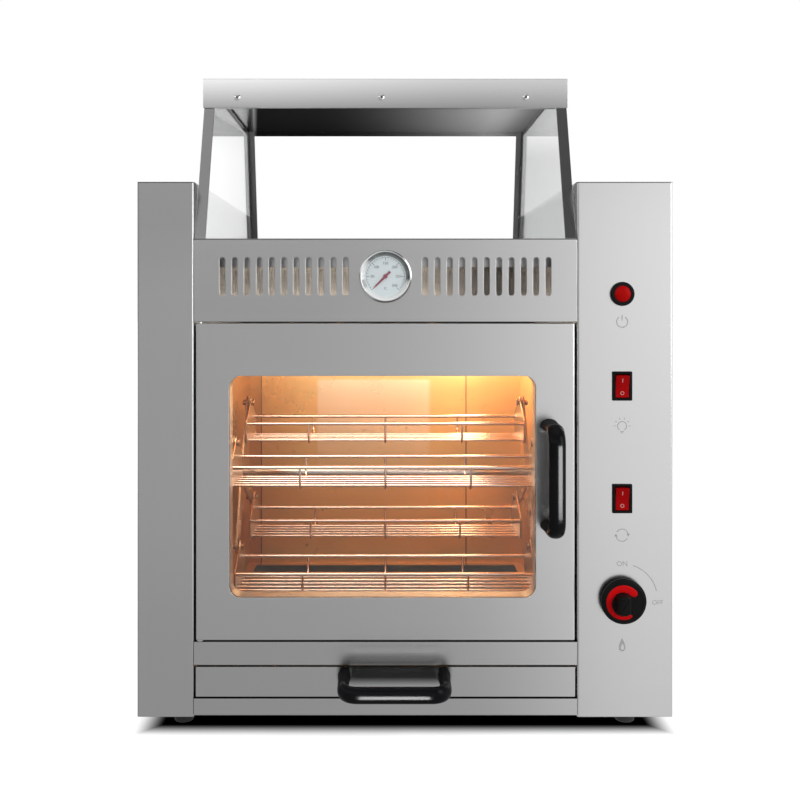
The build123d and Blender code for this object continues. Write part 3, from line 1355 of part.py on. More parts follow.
def hanging_basket():
    """Wire basket about its pivot: end plates, rails, floor wires and bent ribs."""
    with BuildPart() as basket:
        for x, inward in ((BASKET_LEFT, 1), (BASKET_RIGHT, -1)):
            # End plate: a round-cornered side that rises to an eye on the pin.
            with BuildSketch(across(x)) as end_plate:
                span(-end_edge, end_edge, end_bottom, end_top)
                fillet(end_plate.vertices().group_by(Axis.Z)[0], BASKET_CORNER)
                with BuildLine():
                    Polyline(
                        (-EYE_RADIUS, 0),
                        (-BASKET_HALF_DEPTH, end_top),
                        (BASKET_HALF_DEPTH, end_top),
                        (EYE_RADIUS, 0),
                        close=True,
                    )
                make_face()
                Circle(EYE_RADIUS)
                Circle(PIN_RADIUS + SHAFT_CLEARANCE, mode=Mode.SUBTRACT)
            extrude(amount=inward * BASKET_END)
        wire_start = BASKET_LEFT + BASKET_END
        wire_length = BASKET_RIGHT - BASKET_LEFT - 2 * BASKET_END
        with BuildSketch(across(wire_start)):
            with Locations((-BASKET_HALF_DEPTH, -BASKET_DROP), (BASKET_HALF_DEPTH, -BASKET_DROP)):
                Circle(RAIL_RADIUS)
            with Locations((0, basket_floor)):
                with GridLocations(FLOOR_WIRE_PITCH, 0, FLOOR_WIRE_COUNT, 1):
                    Circle(FLOOR_WIRE_RADIUS)
        extrude(amount=wire_length)
        for i in range(RIB_COUNT):
            x = X_CENTRE + RIB_PITCH * (i - (RIB_COUNT - 1) / 2)
            with BuildLine() as rib:
                FilletPolyline(
                    (x, -BASKET_HALF_DEPTH, -BASKET_DROP),
                    (x, -BASKET_HALF_DEPTH, rib_floor),
                    (x, BASKET_HALF_DEPTH, rib_floor),
                    (x, BASKET_HALF_DEPTH, -BASKET_DROP),
                    radius=BASKET_CORNER,
                )
            with BuildSketch(Plane.XY.offset(-BASKET_DROP).move(Location((x, -BASKET_HALF_DEPTH, 0)))):
                Circle(RIB_RADIUS)
            sweep(path=rib.line)
    return basket.part


basket_body = hanging_basket()
for number, angle in enumerate(pivot_angles, start=1):
    with BuildPart() as basket:
        with Locations((0, *pivot(angle))):
            add(basket_body)
    basket.part.label = f"basket_{number}"
    export_step(basket.part, f"parts/basket_{number}.step")

with BuildPart() as motor_bracket:
    # Hat-shaped bracket on the column's inner wall; the gearbox bolts to its face.
    half_top = BRACKET_TOP / 2
    with BuildSketch(Plane.XY.offset(Z_WHEEL - BRACKET_HEIGHT / 2)):
        span(bracket_face, bracket_face + BRACKET_SHEET, Y_WHEEL - half_top, Y_WHEEL + half_top)
        for side in (-1, 1):
            y_web = Y_WHEEL + side * half_top
            y_foot = y_web + side * BRACKET_FOOT
            y_inner = y_web - side * BRACKET_SHEET
            span(bracket_wall, bracket_face, min(y_web, y_inner), max(y_web, y_inner))
            span(bracket_wall, bracket_wall + BRACKET_SHEET, min(y_inner, y_foot), max(y_inner, y_foot))
    extrude(amount=BRACKET_HEIGHT)
    with BuildSketch(across(bracket_face)):
        with Locations((Y_WHEEL, Z_WHEEL)):
            Circle(COUPLING_RADIUS)
    extrude(amount=BRACKET_SHEET, mode=Mode.SUBTRACT)
motor_bracket.part.label = "motor_bracket"
export_step(motor_bracket.part, "parts/motor_bracket.step")

with BuildPart() as gear_motor:
    # Square gearbox with the round motor behind it.
    gearbox_face = bracket_face + BRACKET_SHEET
    with BuildSketch(across(gearbox_face)):
        with Locations((Y_WHEEL, Z_WHEEL)):
            RectangleRounded(GEARBOX_SIDE, GEARBOX_SIDE, GEARBOX_CORNER)
    extrude(amount=GEARBOX_LENGTH)
    with BuildSketch(across(gearbox_face + GEARBOX_LENGTH)):
        with Locations((Y_WHEEL, Z_WHEEL)):
            Circle(MOTOR_RADIUS)
    extrude(amount=MOTOR_LENGTH)
    with BuildSketch(across(gearbox_face + GEARBOX_LENGTH + MOTOR_LENGTH)):
        with Locations((Y_WHEEL, Z_WHEEL)):
            Circle(MOTOR_RADIUS - MOTOR_CAP_INSET)
    extrude(amount=MOTOR_CAP)
    with BuildSketch(across(gearbox_face)):
        with Locations((Y_WHEEL, Z_WHEEL)):
            Circle(STUB_RADIUS + SHAFT_CLEARANCE)
    extrude(amount=STUB_LENGTH + 1, mode=Mode.SUBTRACT)
gear_motor.part.label = "gear_motor"
export_step(gear_motor.part, "parts/gear_motor.step")

# --------------------------------------------------------------------------
# Controls
# --------------------------------------------------------------------------

with BuildPart() as power_lamp_bezel:
    # Round black bezel with its body through the panel.
    add(
        turned_out_of_front(
            CONTROL_X,
            SIGNAL_LAMP_HEIGHT,
            [
                (-SIGNAL_BODY_DEPTH, 0),
                (-SIGNAL_BODY_DEPTH, SIGNAL_BODY_RADIUS),
                (0, SIGNAL_BODY_RADIUS),
                (0, SIGNAL_BEZEL_RADIUS),
                (SIGNAL_BEZEL_HEIGHT - 1, SIGNAL_BEZEL_RADIUS),
                (SIGNAL_BEZEL_HEIGHT, SIGNAL_BEZEL_RADIUS - 1),
                (SIGNAL_BEZEL_HEIGHT, SIGNAL_LENS_RADIUS),
                (0, SIGNAL_LENS_RADIUS),
                (0, 0),
            ],
        )
    )
power_lamp_bezel.part.label = "power_lamp_bezel"
export_step(power_lamp_bezel.part, "parts/power_lamp_bezel.step")

with BuildPart() as power_lamp_lens:
    # Low domed lens.
    lens_wall = SIGNAL_BEZEL_HEIGHT
    dome_radius = (SIGNAL_LENS_RADIUS**2 + SIGNAL_DOME**2) / (2 * SIGNAL_DOME)
    with BuildSketch(Plane(origin=(CONTROL_X, Y_FRONT, SIGNAL_LAMP_HEIGHT), x_dir=(0, -1, 0), z_dir=(1, 0, 0))):
        with BuildLine():
            lens_back = Line((0, 0), (0, SIGNAL_LENS_RADIUS))
            lens_side = Line(lens_back @ 1, (lens_wall, SIGNAL_LENS_RADIUS))
            lens_dome = RadiusArc(lens_side @ 1, (lens_wall + SIGNAL_DOME, 0), dome_radius)
            Line(lens_dome @ 1, lens_back @ 0)
        make_face()
    revolve(axis=Axis((CONTROL_X, 0, SIGNAL_LAMP_HEIGHT), (0, -1, 0)))
power_lamp_lens.part.label = "power_lamp_lens"
export_step(power_lamp_lens.part, "parts/power_lamp_lens.step")

rocker_half_width = SWITCH_MOUTH_WIDTH / 2 - RUNNING_GAP
rocker_half_height = SWITCH_MOUTH_HEIGHT / 2 - RUNNING_GAP


def switch_housing(z):
    """Switch body with a rim on the panel and a mouth for the rocker."""
    with BuildPart() as housing:
        with BuildSketch(front()):
            with Locations((CONTROL_X, z)):
                RectangleRounded(SWITCH_WIDTH, SWITCH_HEIGHT, 1)
        extrude(amount=SWITCH_FLANGE)
        with BuildSketch(front()):
            with Locations((CONTROL_X, z)):
                Rectangle(switch_body_width, switch_body_height)
        extrude(amount=-SWITCH_BODY_DEPTH)
        with BuildSketch(front(-SWITCH_FLANGE)):
            with Locations((CONTROL_X, z)):
                Rectangle(SWITCH_MOUTH_WIDTH, SWITCH_MOUTH_HEIGHT)
        extrude(amount=-(SWITCH_FLANGE + SWITCH_MOUTH_DEPTH), mode=Mode.SUBTRACT)
        # Blind holes for the rocker's pins.
        pin_reach_x = rocker_half_width + ROCKER_PIN_LENGTH + RUNNING_GAP
        with BuildSketch(across(CONTROL_X - pin_reach_x)):
            with Locations((at_depth(ROCKER_PIVOT_DEPTH), z)):
                Circle(ROCKER_PIN_RADIUS + SHAFT_CLEARANCE)
        extrude(amount=2 * pin_reach_x, mode=Mode.SUBTRACT)
    return housing.part


def rocker(z):
    """Rocker with two slanted pads, tilted so that its lower end is pressed in."""
    slope = tan(radians(ROCKER_TILT))
    rise = ROCKER_CREST + slope * rocker_half_height
    with BuildPart() as body:
        with BuildSketch(across(CONTROL_X - rocker_half_width)):
            with Locations(Location((at_depth(ROCKER_PIVOT_DEPTH), z, 0), (0, 0, ROCKER_TILT))):
                Polygon(
                    (-ROCKER_CREST, 0),
                    (-rise, rocker_half_height),
                    (ROCKER_BACK, rocker_half_height),
                    (ROCKER_BACK, -rocker_half_height),
                    (-rise, -rocker_half_height),
                    align=None,
                )
                Circle(rocker_half_height, mode=Mode.INTERSECT)
        extrude(amount=2 * rocker_half_width)
        with BuildSketch(across(CONTROL_X - rocker_half_width - ROCKER_PIN_LENGTH)):
            with Locations((at_depth(ROCKER_PIVOT_DEPTH), z)):
                Circle(ROCKER_PIN_RADIUS)
        extrude(amount=2 * (rocker_half_width + ROCKER_PIN_LENGTH))
    return body.part


with BuildPart() as light_switch_housing:
    add(switch_housing(LIGHT_SWITCH_HEIGHT))
light_switch_housing.part.label = "light_switch_housing"
export_step(light_switch_housing.part, "parts/light_switch_housing.step")

with BuildPart() as light_switch_rocker:
    add(rocker(LIGHT_SWITCH_HEIGHT))
light_switch_rocker.part.label = "light_switch_rocker"
export_step(light_switch_rocker.part, "parts/light_switch_rocker.step")

with BuildPart() as rotation_switch_housing:
    add(switch_housing(ROTATION_SWITCH_HEIGHT))
rotation_switch_housing.part.label = "rotation_switch_housing"
export_step(rotation_switch_housing.part, "parts/rotation_switch_housing.step")

with BuildPart() as rotation_switch_rocker:
    add(rocker(ROTATION_SWITCH_HEIGHT))
rotation_switch_rocker.part.label = "rotation_switch_rocker"
export_step(rotation_switch_rocker.part, "parts/rotation_switch_rocker.step")

knob_face = KNOB_LIFT + KNOB_SKIRT
knob_top = KNOB_LIFT + KNOB_HEIGHT_OUT
stem_tip = knob_top - KNOB_CAP
with BuildPart() as ignition_knob:
    # Skirted knob; the raised middle has two flats for the fingers.
    add(
        turned_out_of_front(
            CONTROL_X,
            KNOB_HEIGHT,
            [
                (KNOB_LIFT, 0),
                (KNOB_LIFT, KNOB_RADIUS - 1),
                (KNOB_LIFT + 1, KNOB_RADIUS),
                (knob_face - 1.5, KNOB_RADIUS),
                (knob_face, KNOB_RADIUS - 1.5),
                (knob_face, 0),
            ],
        )
    )
    with BuildSketch(front(-knob_face)):
        with Locations((CONTROL_X + RING_SHIFT_X, KNOB_HEIGHT + RING_SHIFT_Z + RING_INNER_SHIFT)):
            Circle(RING_INNER - 1)
            Rectangle(KNOB_GRIP_FLAT, 2 * RING_INNER, mode=Mode.INTERSECT)
    extrude(amount=KNOB_HEIGHT_OUT - KNOB_SKIRT, taper=4)
    fillet(ignition_knob.edges().group_by(Axis.Y)[0], 1.5)
    with BuildSketch(front(-KNOB_LIFT)):
        with Locations((CONTROL_X, KNOB_HEIGHT)):
            Circle(STEM_RADIUS)
    extrude(amount=stem_tip - KNOB_LIFT, mode=Mode.SUBTRACT)
ignition_knob.part.label = "ignition_knob"
export_step(ignition_knob.part, "parts/ignition_knob.step")

with BuildPart() as knob_ring:
    # Crescent inlay on the knob's skirt: two circles off centre, open on the right.
    with BuildSketch(front(-knob_face)):
        with Locations((CONTROL_X + RING_SHIFT_X, KNOB_HEIGHT + RING_SHIFT_Z)):
            Circle(RING_OUTER)
            with Locations((0, RING_INNER_SHIFT)):
                Circle(RING_INNER, mode=Mode.SUBTRACT)
            reach = 3 * RING_OUTER
            Polygon(
                (0, RING_INNER_SHIFT),
                (reach * cos(radians(RING_OPEN_FROM)), reach * sin(radians(RING_OPEN_FROM))),
                (reach * cos(radians(RING_OPEN_TO)), reach * sin(radians(RING_OPEN_TO))),
                align=None,
                mode=Mode.SUBTRACT,
            )
    extrude(amount=RING_THICKNESS)
knob_ring.part.label = "knob_ring"
export_step(knob_ring.part, "parts/knob_ring.step")

with BuildPart() as valve_stem:
    # Round stem from inside the knob to the valve's seat.
    with BuildSketch(front(-stem_tip)):
        with Locations((CONTROL_X, KNOB_HEIGHT)):
            Circle(STEM_RADIUS)
    extrude(amount=-(stem_tip + valve_front + STEM_ENTRY))
valve_stem.part.label = "valve_stem"
export_step(valve_stem.part, "parts/valve_stem.step")

with BuildPart() as valve_collar:
    # Push sleeve round the stem; it slides in the valve's neck and does not turn.
    with BuildSketch(front(-COLLAR_OUT)):
        with Locations((CONTROL_X, KNOB_HEIGHT)):
            Circle(COLLAR_RADIUS)
            Circle(STEM_RADIUS + SHAFT_CLEARANCE, mode=Mode.SUBTRACT)
    extrude(amount=-(COLLAR_OUT + COLLAR_IN))
valve_collar.part.label = "valve_collar"
export_step(valve_collar.part, "parts/valve_collar.step")
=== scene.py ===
# %% [markdown]
# # A baked potato oven, dressed for the studio
#
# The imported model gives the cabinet, the door, the drawer, the canopy and the
# basket wheel as plain grey solids, each already in its place.  This notebook
# gives every one of them a finish, and rebuilds the round and wiry pieces with
# smooth surfaces: handles, knob, thermometer, lamp, rockers, screws and baskets.
# The model is loaded first, because everything else is placed by it.

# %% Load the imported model
import math

import bmesh
import bpy
import numpy as np
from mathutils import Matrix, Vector

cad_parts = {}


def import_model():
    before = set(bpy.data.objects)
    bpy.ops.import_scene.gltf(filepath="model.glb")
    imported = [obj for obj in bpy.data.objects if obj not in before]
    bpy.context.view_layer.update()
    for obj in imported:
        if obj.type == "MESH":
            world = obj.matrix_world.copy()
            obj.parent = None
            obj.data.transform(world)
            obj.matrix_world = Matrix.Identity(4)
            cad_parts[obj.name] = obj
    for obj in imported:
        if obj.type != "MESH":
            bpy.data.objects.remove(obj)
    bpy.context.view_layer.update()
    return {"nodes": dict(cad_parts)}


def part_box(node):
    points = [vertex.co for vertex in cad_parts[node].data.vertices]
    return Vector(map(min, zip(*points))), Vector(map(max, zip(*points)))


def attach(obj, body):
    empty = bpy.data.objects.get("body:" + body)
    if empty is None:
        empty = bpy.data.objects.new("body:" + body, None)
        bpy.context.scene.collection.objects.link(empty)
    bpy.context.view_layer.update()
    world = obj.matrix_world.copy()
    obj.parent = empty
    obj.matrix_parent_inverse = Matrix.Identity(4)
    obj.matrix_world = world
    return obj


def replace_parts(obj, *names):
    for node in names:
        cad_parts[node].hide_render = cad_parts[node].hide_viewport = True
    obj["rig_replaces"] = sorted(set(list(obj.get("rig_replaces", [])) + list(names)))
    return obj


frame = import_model()
scene = bpy.context.scene

# %% [markdown]
# ## Sizes
#
# Shapes are drawn in millimetres, as a sheet-metal shop would write them, and
# turned into metres only when a mesh is made.  Where a piece stands comes from
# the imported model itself, so that nothing drifts away from what carries it.

# %% Where the pieces stand
MM = 0.001
OUT, BACK = np.array([0.0, -1.0, 0.0]), np.array([0.0, 1.0, 0.0])
RIGHT, UP = np.array([1.0, 0.0, 0.0]), np.array([0.0, 0.0, 1.0])


def limits(node):
    """Lowest and highest corner of a node, in millimetres."""
    low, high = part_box(node)
    return np.array(low) / MM, np.array(high) / MM


def middle(node):
    """Centre of a node's box, in millimetres."""
    return sum(limits(node)) / 2


panel_low, panel_high = limits("upper_front_panel")
X_OPEN_LEFT, X_OPEN_RIGHT, Y_FRONT, PANEL_TOP = panel_low[0], panel_high[0], panel_low[1], panel_high[2]
X_CENTRE, CONTROL_X = middle("upper_front_panel")[0], middle("ignition_knob")[0]


def on_front(node):
    """The point of the front face behind a node's middle."""
    return middle(node) * [1, 0, 1] + [0, Y_FRONT, 0]


print("front face at y", Y_FRONT, "middle at x", X_CENTRE, "controls at x", CONTROL_X)

# %% [markdown]
# ## A small language for materials
#
# Blender draws a material as a graph of nodes.  Written out link by link it is
# hard to read, so a socket is wrapped in a class that knows + - * and /, and an
# expression such as `1 - mask * 0.3` adds its own Math nodes.  One method adds
# any other node.

# %% Sockets that can be calculated with


class Wire:
    """One output socket.  Arithmetic on it adds Math nodes to the same graph."""

    def __init__(self, graph, socket):
        self.graph = graph
        self.socket = socket

    def math(self, operation, *values):
        return self.graph.node("ShaderNodeMath", {"operation": operation}, dict(enumerate(values)))

    def __lt__(self, other):
        return self.math("LESS_THAN", self, other)

    def __gt__(self, other):
        return self.math("GREATER_THAN", self, other)

    def __abs__(self):
        return self.math("ABSOLUTE", self)

    def larger(self, other):
        return self.math("MAXIMUM", self, other)

    def smaller(self, other):
        return self.math("MINIMUM", self, other)


def give_operator(symbol, operation):
    """Gives Wire an operator, and the reflected form that a number before it needs."""
    setattr(Wire, f"__{symbol}__", lambda wire, other: wire.math(operation, wire, other))
    setattr(Wire, f"__r{symbol}__", lambda wire, other: wire.math(operation, other, wire))


for symbol, operation in (
    ("add", "ADD"), ("sub", "SUBTRACT"), ("mul", "MULTIPLY"), ("truediv", "DIVIDE"), ("pow", "POWER"),
):
    give_operator(symbol, operation)


class Graph:
    """A node graph, of a material or of the world."""

    def __init__(self, owner):
        owner.use_nodes = True
        self.owner = owner
        self.tree = owner.node_tree
        self.tree.nodes.clear()

    def node(self, kind, settings=None, sockets=None, output=0):
        """Adds a node: its settings first, then the value or link of each socket."""
        made = self.tree.nodes.new(kind)
        for name, value in (settings or {}).items():
            setattr(made, name, value)
        for name, value in (sockets or {}).items():
            if isinstance(value, Wire):
                self.tree.links.new(value.socket, made.inputs[name])
            else:
                made.inputs[name].default_value = value
        return Wire(self, made.outputs[output]) if len(made.outputs) else made

    def mix(self, factor, first, second):
        """Colour between two colours: the first at factor 0, the second at 1."""
        sockets = {0: factor, 6: rgba(first), 7: rgba(second)}
        return self.node("ShaderNodeMix", {"data_type": "RGBA"}, sockets, output=2)

    def smooth(self, value, low, high, start=0.0, end=1.0):
        """Smooth step: start below low, end above high, an S-curve between."""
        sockets = {0: value, 1: low, 2: high, 3: start, 4: end}
        return self.node("ShaderNodeMapRange", {"interpolation_type": "SMOOTHSTEP"}, sockets)

    def between(self, value, rise, full, fall, gone):
        """0 up to rise, 1 from full to fall, and 0 again from gone, smooth between."""
        return self.smooth(value, rise, full) * self.smooth(value, fall, gone, 1.0, 0.0)

    def clamp(self, value, low, high):
        return self.node("ShaderNodeClamp", None, {0: value, 1: low, 2: high})

    def place(self, kind="Object"):
        """Texture coordinates; Object ones are metres in the oven's own frame."""
        return self.node("ShaderNodeTexCoord", None, None, kind)

    def parts(self, vector):
        """X, Y and Z of a vector, as three wires."""
        split = self.node("ShaderNodeSeparateXYZ", None, {0: vector})
        return [Wire(self, out) for out in split.socket.node.outputs]

    def axes(self):
        return self.parts(self.place())

    def stretched(self, scale):
        """Object coordinates, scaled differently along each axis."""
        return self.node("ShaderNodeMapping", None, {"Vector": self.place(), "Scale": scale})

    def noise(self, place, scale, detail=3.0, roughness=0.5):
        """Cloudy values around 0.5 at a place."""
        sockets = {"Vector": place, "Scale": scale, "Detail": detail, "Roughness": roughness}
        return self.node("ShaderNodeTexNoise", None, sockets)

    def cloud(self, scale, detail=3.0, roughness=0.6):
        """Noise that is alike in all directions, about 1 / scale metres a cloud."""
        return self.noise(self.place(), scale, detail, roughness)

    def soft_edge(self, radius):
        """A normal that rounds the shading of sharp edges, by a radius in millimetres."""
        return self.node("ShaderNodeBevel", {"samples": 4}, {"Radius": radius * MM})

    def bump(self, height, strength, distance, **more):
        sockets = {"Strength": strength, "Distance": distance, "Height": height, **more}
        return self.node("ShaderNodeBump", None, sockets)

    def ray(self, kind):
        """1 for rays of a kind: Camera, Glossy or Transmission."""
        return self.node("ShaderNodeLightPath", None, None, f"Is {kind} Ray")


def rgba(colour):
    """A colour socket's value: a wire as it is, three numbers with full alpha."""
    return colour if isinstance(colour, Wire) else (*colour, 1.0)


def fade(share, first, second):
    """Number between two numbers: the first at share 0, the second at 1."""
    return first * (1 - share) + second * share


FINISHES = {}


def finish(name, base, roughness, metallic=0.0, normal=None, **constants):
    """Completes a material graph with the main shader and keeps it under its name.

    base is a wire; roughness, metallic and normal may be.  Constants are set on
    the shader's own sockets, with underscores for the spaces in their names.
    """
    graph = base.graph
    sockets = {"Base Color": base, "Roughness": roughness, "Metallic": metallic}
    for key, value in constants.items():
        sockets[key.replace("_", " ")] = value
    if normal is not None:
        sockets["Normal"] = normal
    shader = graph.node("ShaderNodeBsdfPrincipled", None, sockets)
    graph.node("ShaderNodeOutputMaterial", None, {0: shader})
    FINISHES[name] = graph.owner


def material(name):
    """A new material's graph."""
    return Graph(bpy.data.materials.new(name))


def stand(name, data):
    """Puts a new object into the scene."""
    made = bpy.data.objects.new(name, data)
    scene.collection.objects.link(made)
    return made


print("material language ready")

# %% [markdown]
# ## Camera
#
# The cabinet is seen square on, from a little under its display floor, so the
# camera stays level and a lens shift moves the picture up, as with a view
# camera.  That keeps every upright edge upright.

# %% Camera
EYE = (-0.024, Y_FRONT * MM - 1.2, 0.513)
camera_data = bpy.data.cameras.new("front_camera")
camera_data.lens, camera_data.sensor_width = 45.0, 36.0
camera_data.shift_x, camera_data.shift_y = 0.01875, -0.1175
camera_data.clip_start, camera_data.clip_end = 0.05, 100.0
camera = stand("front_camera", camera_data)
camera.location = EYE
camera.rotation_euler = (math.radians(90), 0, 0)
scene.camera = camera
scene.view_settings.view_transform = "Standard"
print("camera at", EYE)

# %% [markdown]
# ## Studio
#
# Brushed steel shows what stands around it more than it shows itself.  The
# room is therefore darker to the front left and brighter to the front right,
# so the cabinet shades from one side to the other.  Two dark flags at the far
# left and right draw a line along each rounded edge, as they do in a studio.
# Pure white is kept for what the camera and the clear glass see behind it.

# %% World


def front_wall(graph, across, rise):
    """Brightness of the wall in front: a slow and a fast S-curve from left to right.

    Lower down the curves start further right.  On the right the wall grows
    brighter with height, fastest above eye level; on the left it is darker
    above eye level and a little darker again near the floor.
    """
    height = graph.clamp(rise, -0.5, 0.16)
    across = across - graph.smooth(rise, -0.36, -0.10, 0.026, 0.0)
    side = graph.smooth(across, -0.16, 0.06, 0.0, 0.12) + graph.smooth(across, 0.03, 0.25, 0.0, 0.88)
    upper_right = graph.smooth(height, 0.0, 0.16, 0.0, 0.30)
    upper_left = graph.smooth(height, -0.05, 0.16, 0.0, 0.44)
    lower_left = graph.smooth(height, -0.36, -0.15, 0.11, 0.0)
    right_part = side * ((height + 0.22) * 0.85 + upper_right)
    left_part = (1 - side) * (upper_left + lower_left)
    return (side * 0.50 + 0.485) * (1 + right_part - left_part)


scene.world = bpy.data.worlds.new("studio_room")
room = Graph(scene.world)
to_right, _, to_top = room.parts(room.place("Generated"))
past_flags = room.smooth(abs(to_right), 0.60, 0.75)
flags = room.smooth(abs(to_right), 0.40, 0.47) * (1 - past_flags)
wall = front_wall(room, to_right, to_top) * (1 - flags * 0.75 - past_flags * 0.28)
above_door = room.smooth(to_right, -0.25, 0.25, 1.40, 0.50)
wall = fade(room.smooth(to_top, 0.14, 0.20), wall, above_door)
ceiling = room.smooth(to_right, -0.3, 0.3, 0.38, 0.08)
wall = fade(room.smooth(to_top, 0.38, 0.62), wall, ceiling)
surround = fade(room.smooth(to_top, 0.80, 0.95), wall, 0.9)
strength = fade(room.ray("Camera").larger(room.ray("Transmission")), surround, 1.0)
backdrop = room.node("ShaderNodeBackground", None, {"Color": (1, 1, 1, 1), "Strength": strength})
room.node("ShaderNodeOutputWorld", None, {0: backdrop})
print("room made")

# %% [markdown]
# The floor is a wide pale sheet.  Seen by the camera it is white but still
# takes the cabinet's shadow, and a painted shadow darkens it under the cabinet
# itself, full from 26 mm inside the outline and gone 12 mm outside it.  Seen
# in the steel it carries on the wall's own shading.

# %% Floor
REACH = 30.0
floor_mesh = bpy.data.meshes.new("studio_floor")
corners = [(-REACH, -REACH, 0), (REACH, -REACH, 0), (REACH, REACH, 0), (-REACH, REACH, 0)]
floor_mesh.from_pydata(corners, [], [(0, 1, 2, 3)])
floor = stand("studio_floor", floor_mesh)
paper = material("studio_floor")
by_camera = paper.ray("Camera")
x, y, _ = paper.axes()
column_corner = limits("right_column_shell")[1] * MM
outside = (abs(x) - column_corner[0]).larger(Y_FRONT * MM - y).larger(y - column_corner[1])
# Painted shadow: for the camera the floor is darkened over the cabinet's footprint.
painted_contact_shadow = paper.smooth(outside, -0.026, 0.012, 1.0, 0.0)
shade = (by_camera * 0.40 + 0.5) * (1 - painted_contact_shadow * by_camera)
tone = paper.node("ShaderNodeCombineColor", None, {0: shade, 1: shade, 2: shade})
matt = paper.node("ShaderNodeBsdfDiffuse", None, {"Color": tone})
lift = paper.node("ShaderNodeEmission", None, {"Strength": by_camera * (1 - painted_contact_shadow) * 0.62})
lit = paper.node("ShaderNodeAddShader", None, {0: matt, 1: lift})
distance = 2 * Y_FRONT * MM - EYE[1] - y
mirrored = front_wall(paper, (x - EYE[0]) / distance, -EYE[2] / distance)
reflection = paper.node("ShaderNodeEmission", None, {"Strength": mirrored})
both = paper.node("ShaderNodeMixShader", None, {0: paper.ray("Glossy"), 1: lit, 2: reflection})
paper.node("ShaderNodeOutputMaterial", None, {0: both})
floor_mesh.materials.append(paper.owner)
print("floor made")

# %% [markdown]
# A soft lamp at the front right models the shapes.  Two glint lamps belong to
# the black handles alone, and stop after the first surface, so that the steel
# doesn't mirror them.  A card on the display floor lights the roof.

# %% Lamps
door_grip, drawer_grip, under_canopy = (
    bpy.data.collections.new(name) for name in ("door_grip", "drawer_grip", "under_canopy")
)
under_canopy.objects.link(frame["nodes"]["canopy_roof"])


def light(name, kind, place, power, colour):
    """A lamp of a kind at a place; its power is in watts."""
    data = bpy.data.lights.new(name, kind)
    data.energy, data.color = power, colour
    lamp = stand(name, data)
    lamp.location = place
    return lamp


def area_lamp(name, place, aim, width, height, power, colour=(1.0, 1.0, 1.0), only=None):
    """A rectangular soft lamp at a place, turned to a point, which may light some pieces only."""
    lamp = light(name, "AREA", place, power, colour)
    lamp.data.shape = "RECTANGLE"
    lamp.data.size, lamp.data.size_y = width, height
    lamp.rotation_euler = (Vector(aim) - Vector(place)).to_track_quat("-Z", "Y").to_euler()
    lamp.visible_camera = False
    if only is not None:
        lamp.light_linking.receiver_collection = only
        lamp.visible_diffuse = only == under_canopy
        lamp.data.cycles.max_bounces = 1024 if only == under_canopy else 0


area_lamp("key_lamp", (1.7, -1.5, 1.1), (0.0, 0.0, 0.35), 0.9, 1.6, 20)
area_lamp("glint_side", (0.445, -0.715, 0.255), (0.173, -0.294, 0.30), 0.36, 0.18, 20, only=door_grip)
area_lamp("glint_below", (-0.013, -0.378, 0.004), (-0.013, -0.3, 0.068), 0.094, 0.1, 3.2, only=drawer_grip)
area_lamp("canopy_card", (-0.01, 0.0, 0.60), (-0.01, 0.0, 0.79), 0.42, 0.34, 0.75, only=under_canopy)
print("lamps made")

# %% [markdown]
# The chamber has its own warm lamp on the back wall.  A small glowing ball of
# light just in front of its glass stands for it.

# %% Chamber lamp
glow_place = middle("oven_lamp_bulb") * [1, 0, 1] + BACK * (limits("oven_lamp_bulb")[0][1] - 45)
glow = light("chamber_glow", "POINT", glow_place * MM, 1.25, (1.0, 0.78, 0.52))
glow.data.shadow_soft_size = 0.03
fill_x, fill_z = (X_CENTRE - 40) * MM, 0.465
area_lamp(
    "chamber_fill", (fill_x, -0.12, fill_z), (fill_x - 0.04, 0.1, 0.2), 0.38, 0.12, 1.4, (1.0, 0.84, 0.66)
)
print("glow at", tuple(round(v, 3) for v in glow.location))

# %% [markdown]
# ## Finishes
#
# ### Stainless steel
# Catering steel is brushed: thousands of fine scratches run one way.  They
# blur a reflection, so the roughness carries most of the look, with a faint
# streak in the colour and a shallow bump.  Folded edges are never sharp; the
# Bevel node rounds the shading there, which draws the thin light line that a
# folded sheet has beside a seam.  The dark lines in seams and folds, and the
# tones that change over some pieces, are painted shade and light.

# %% Stainless steel


def brushed(name, tone, rough, bevel=1.2, streak=1.0, painted_seam_lines=None, painted_light_shade=None, film=None, **more):
    """Sheet brushed level: noise stretched along x gives the hairs.

    tone scales the colour.  The next three arguments, in order, are functions of the
    graph and the three object coordinates: painted shade in seams and folds,
    painted light and shade that change over the piece, and the part that a matt film covers.
    """
    m = material(name)
    hair = m.noise(m.stretched((4.0, 4.0, 700.0)), 1.0, 4.0, 0.6)
    band = m.noise(m.stretched((1.5, 1.5, 90.0)), 1.0, 2.0, 0.5)
    cloud = m.cloud(7.0, 3.0, 0.55)
    lines = (hair - 0.5) * 0.6 + (band - 0.5) * 0.25
    value = tone + lines * (0.04 * streak) + (cloud - 0.5) * 0.02
    # Painted light and shade over the piece scale the colour.
    if painted_light_shade:
        value = value * painted_light_shade(m, *m.axes())
    # Painted shade darkens seams and folds.
    if painted_seam_lines:
        value = value * (1 - painted_seam_lines(m, *m.axes()))
    roughness = rough + lines * (0.06 * streak) + (cloud - 0.5) * 0.03
    metallic = 1.0
    if film:
        covered = film(m, *m.axes())
        metallic = 1 - covered
        roughness = roughness + covered * 0.3
    normal = m.bump(hair, 0.03 * streak, 0.0003, Normal=m.soft_edge(bevel))
    finish(name, m.mix(value, (0.0, 0.0, 0.0), (1.0, 1.0, 1.0)), roughness, metallic, normal, **more)


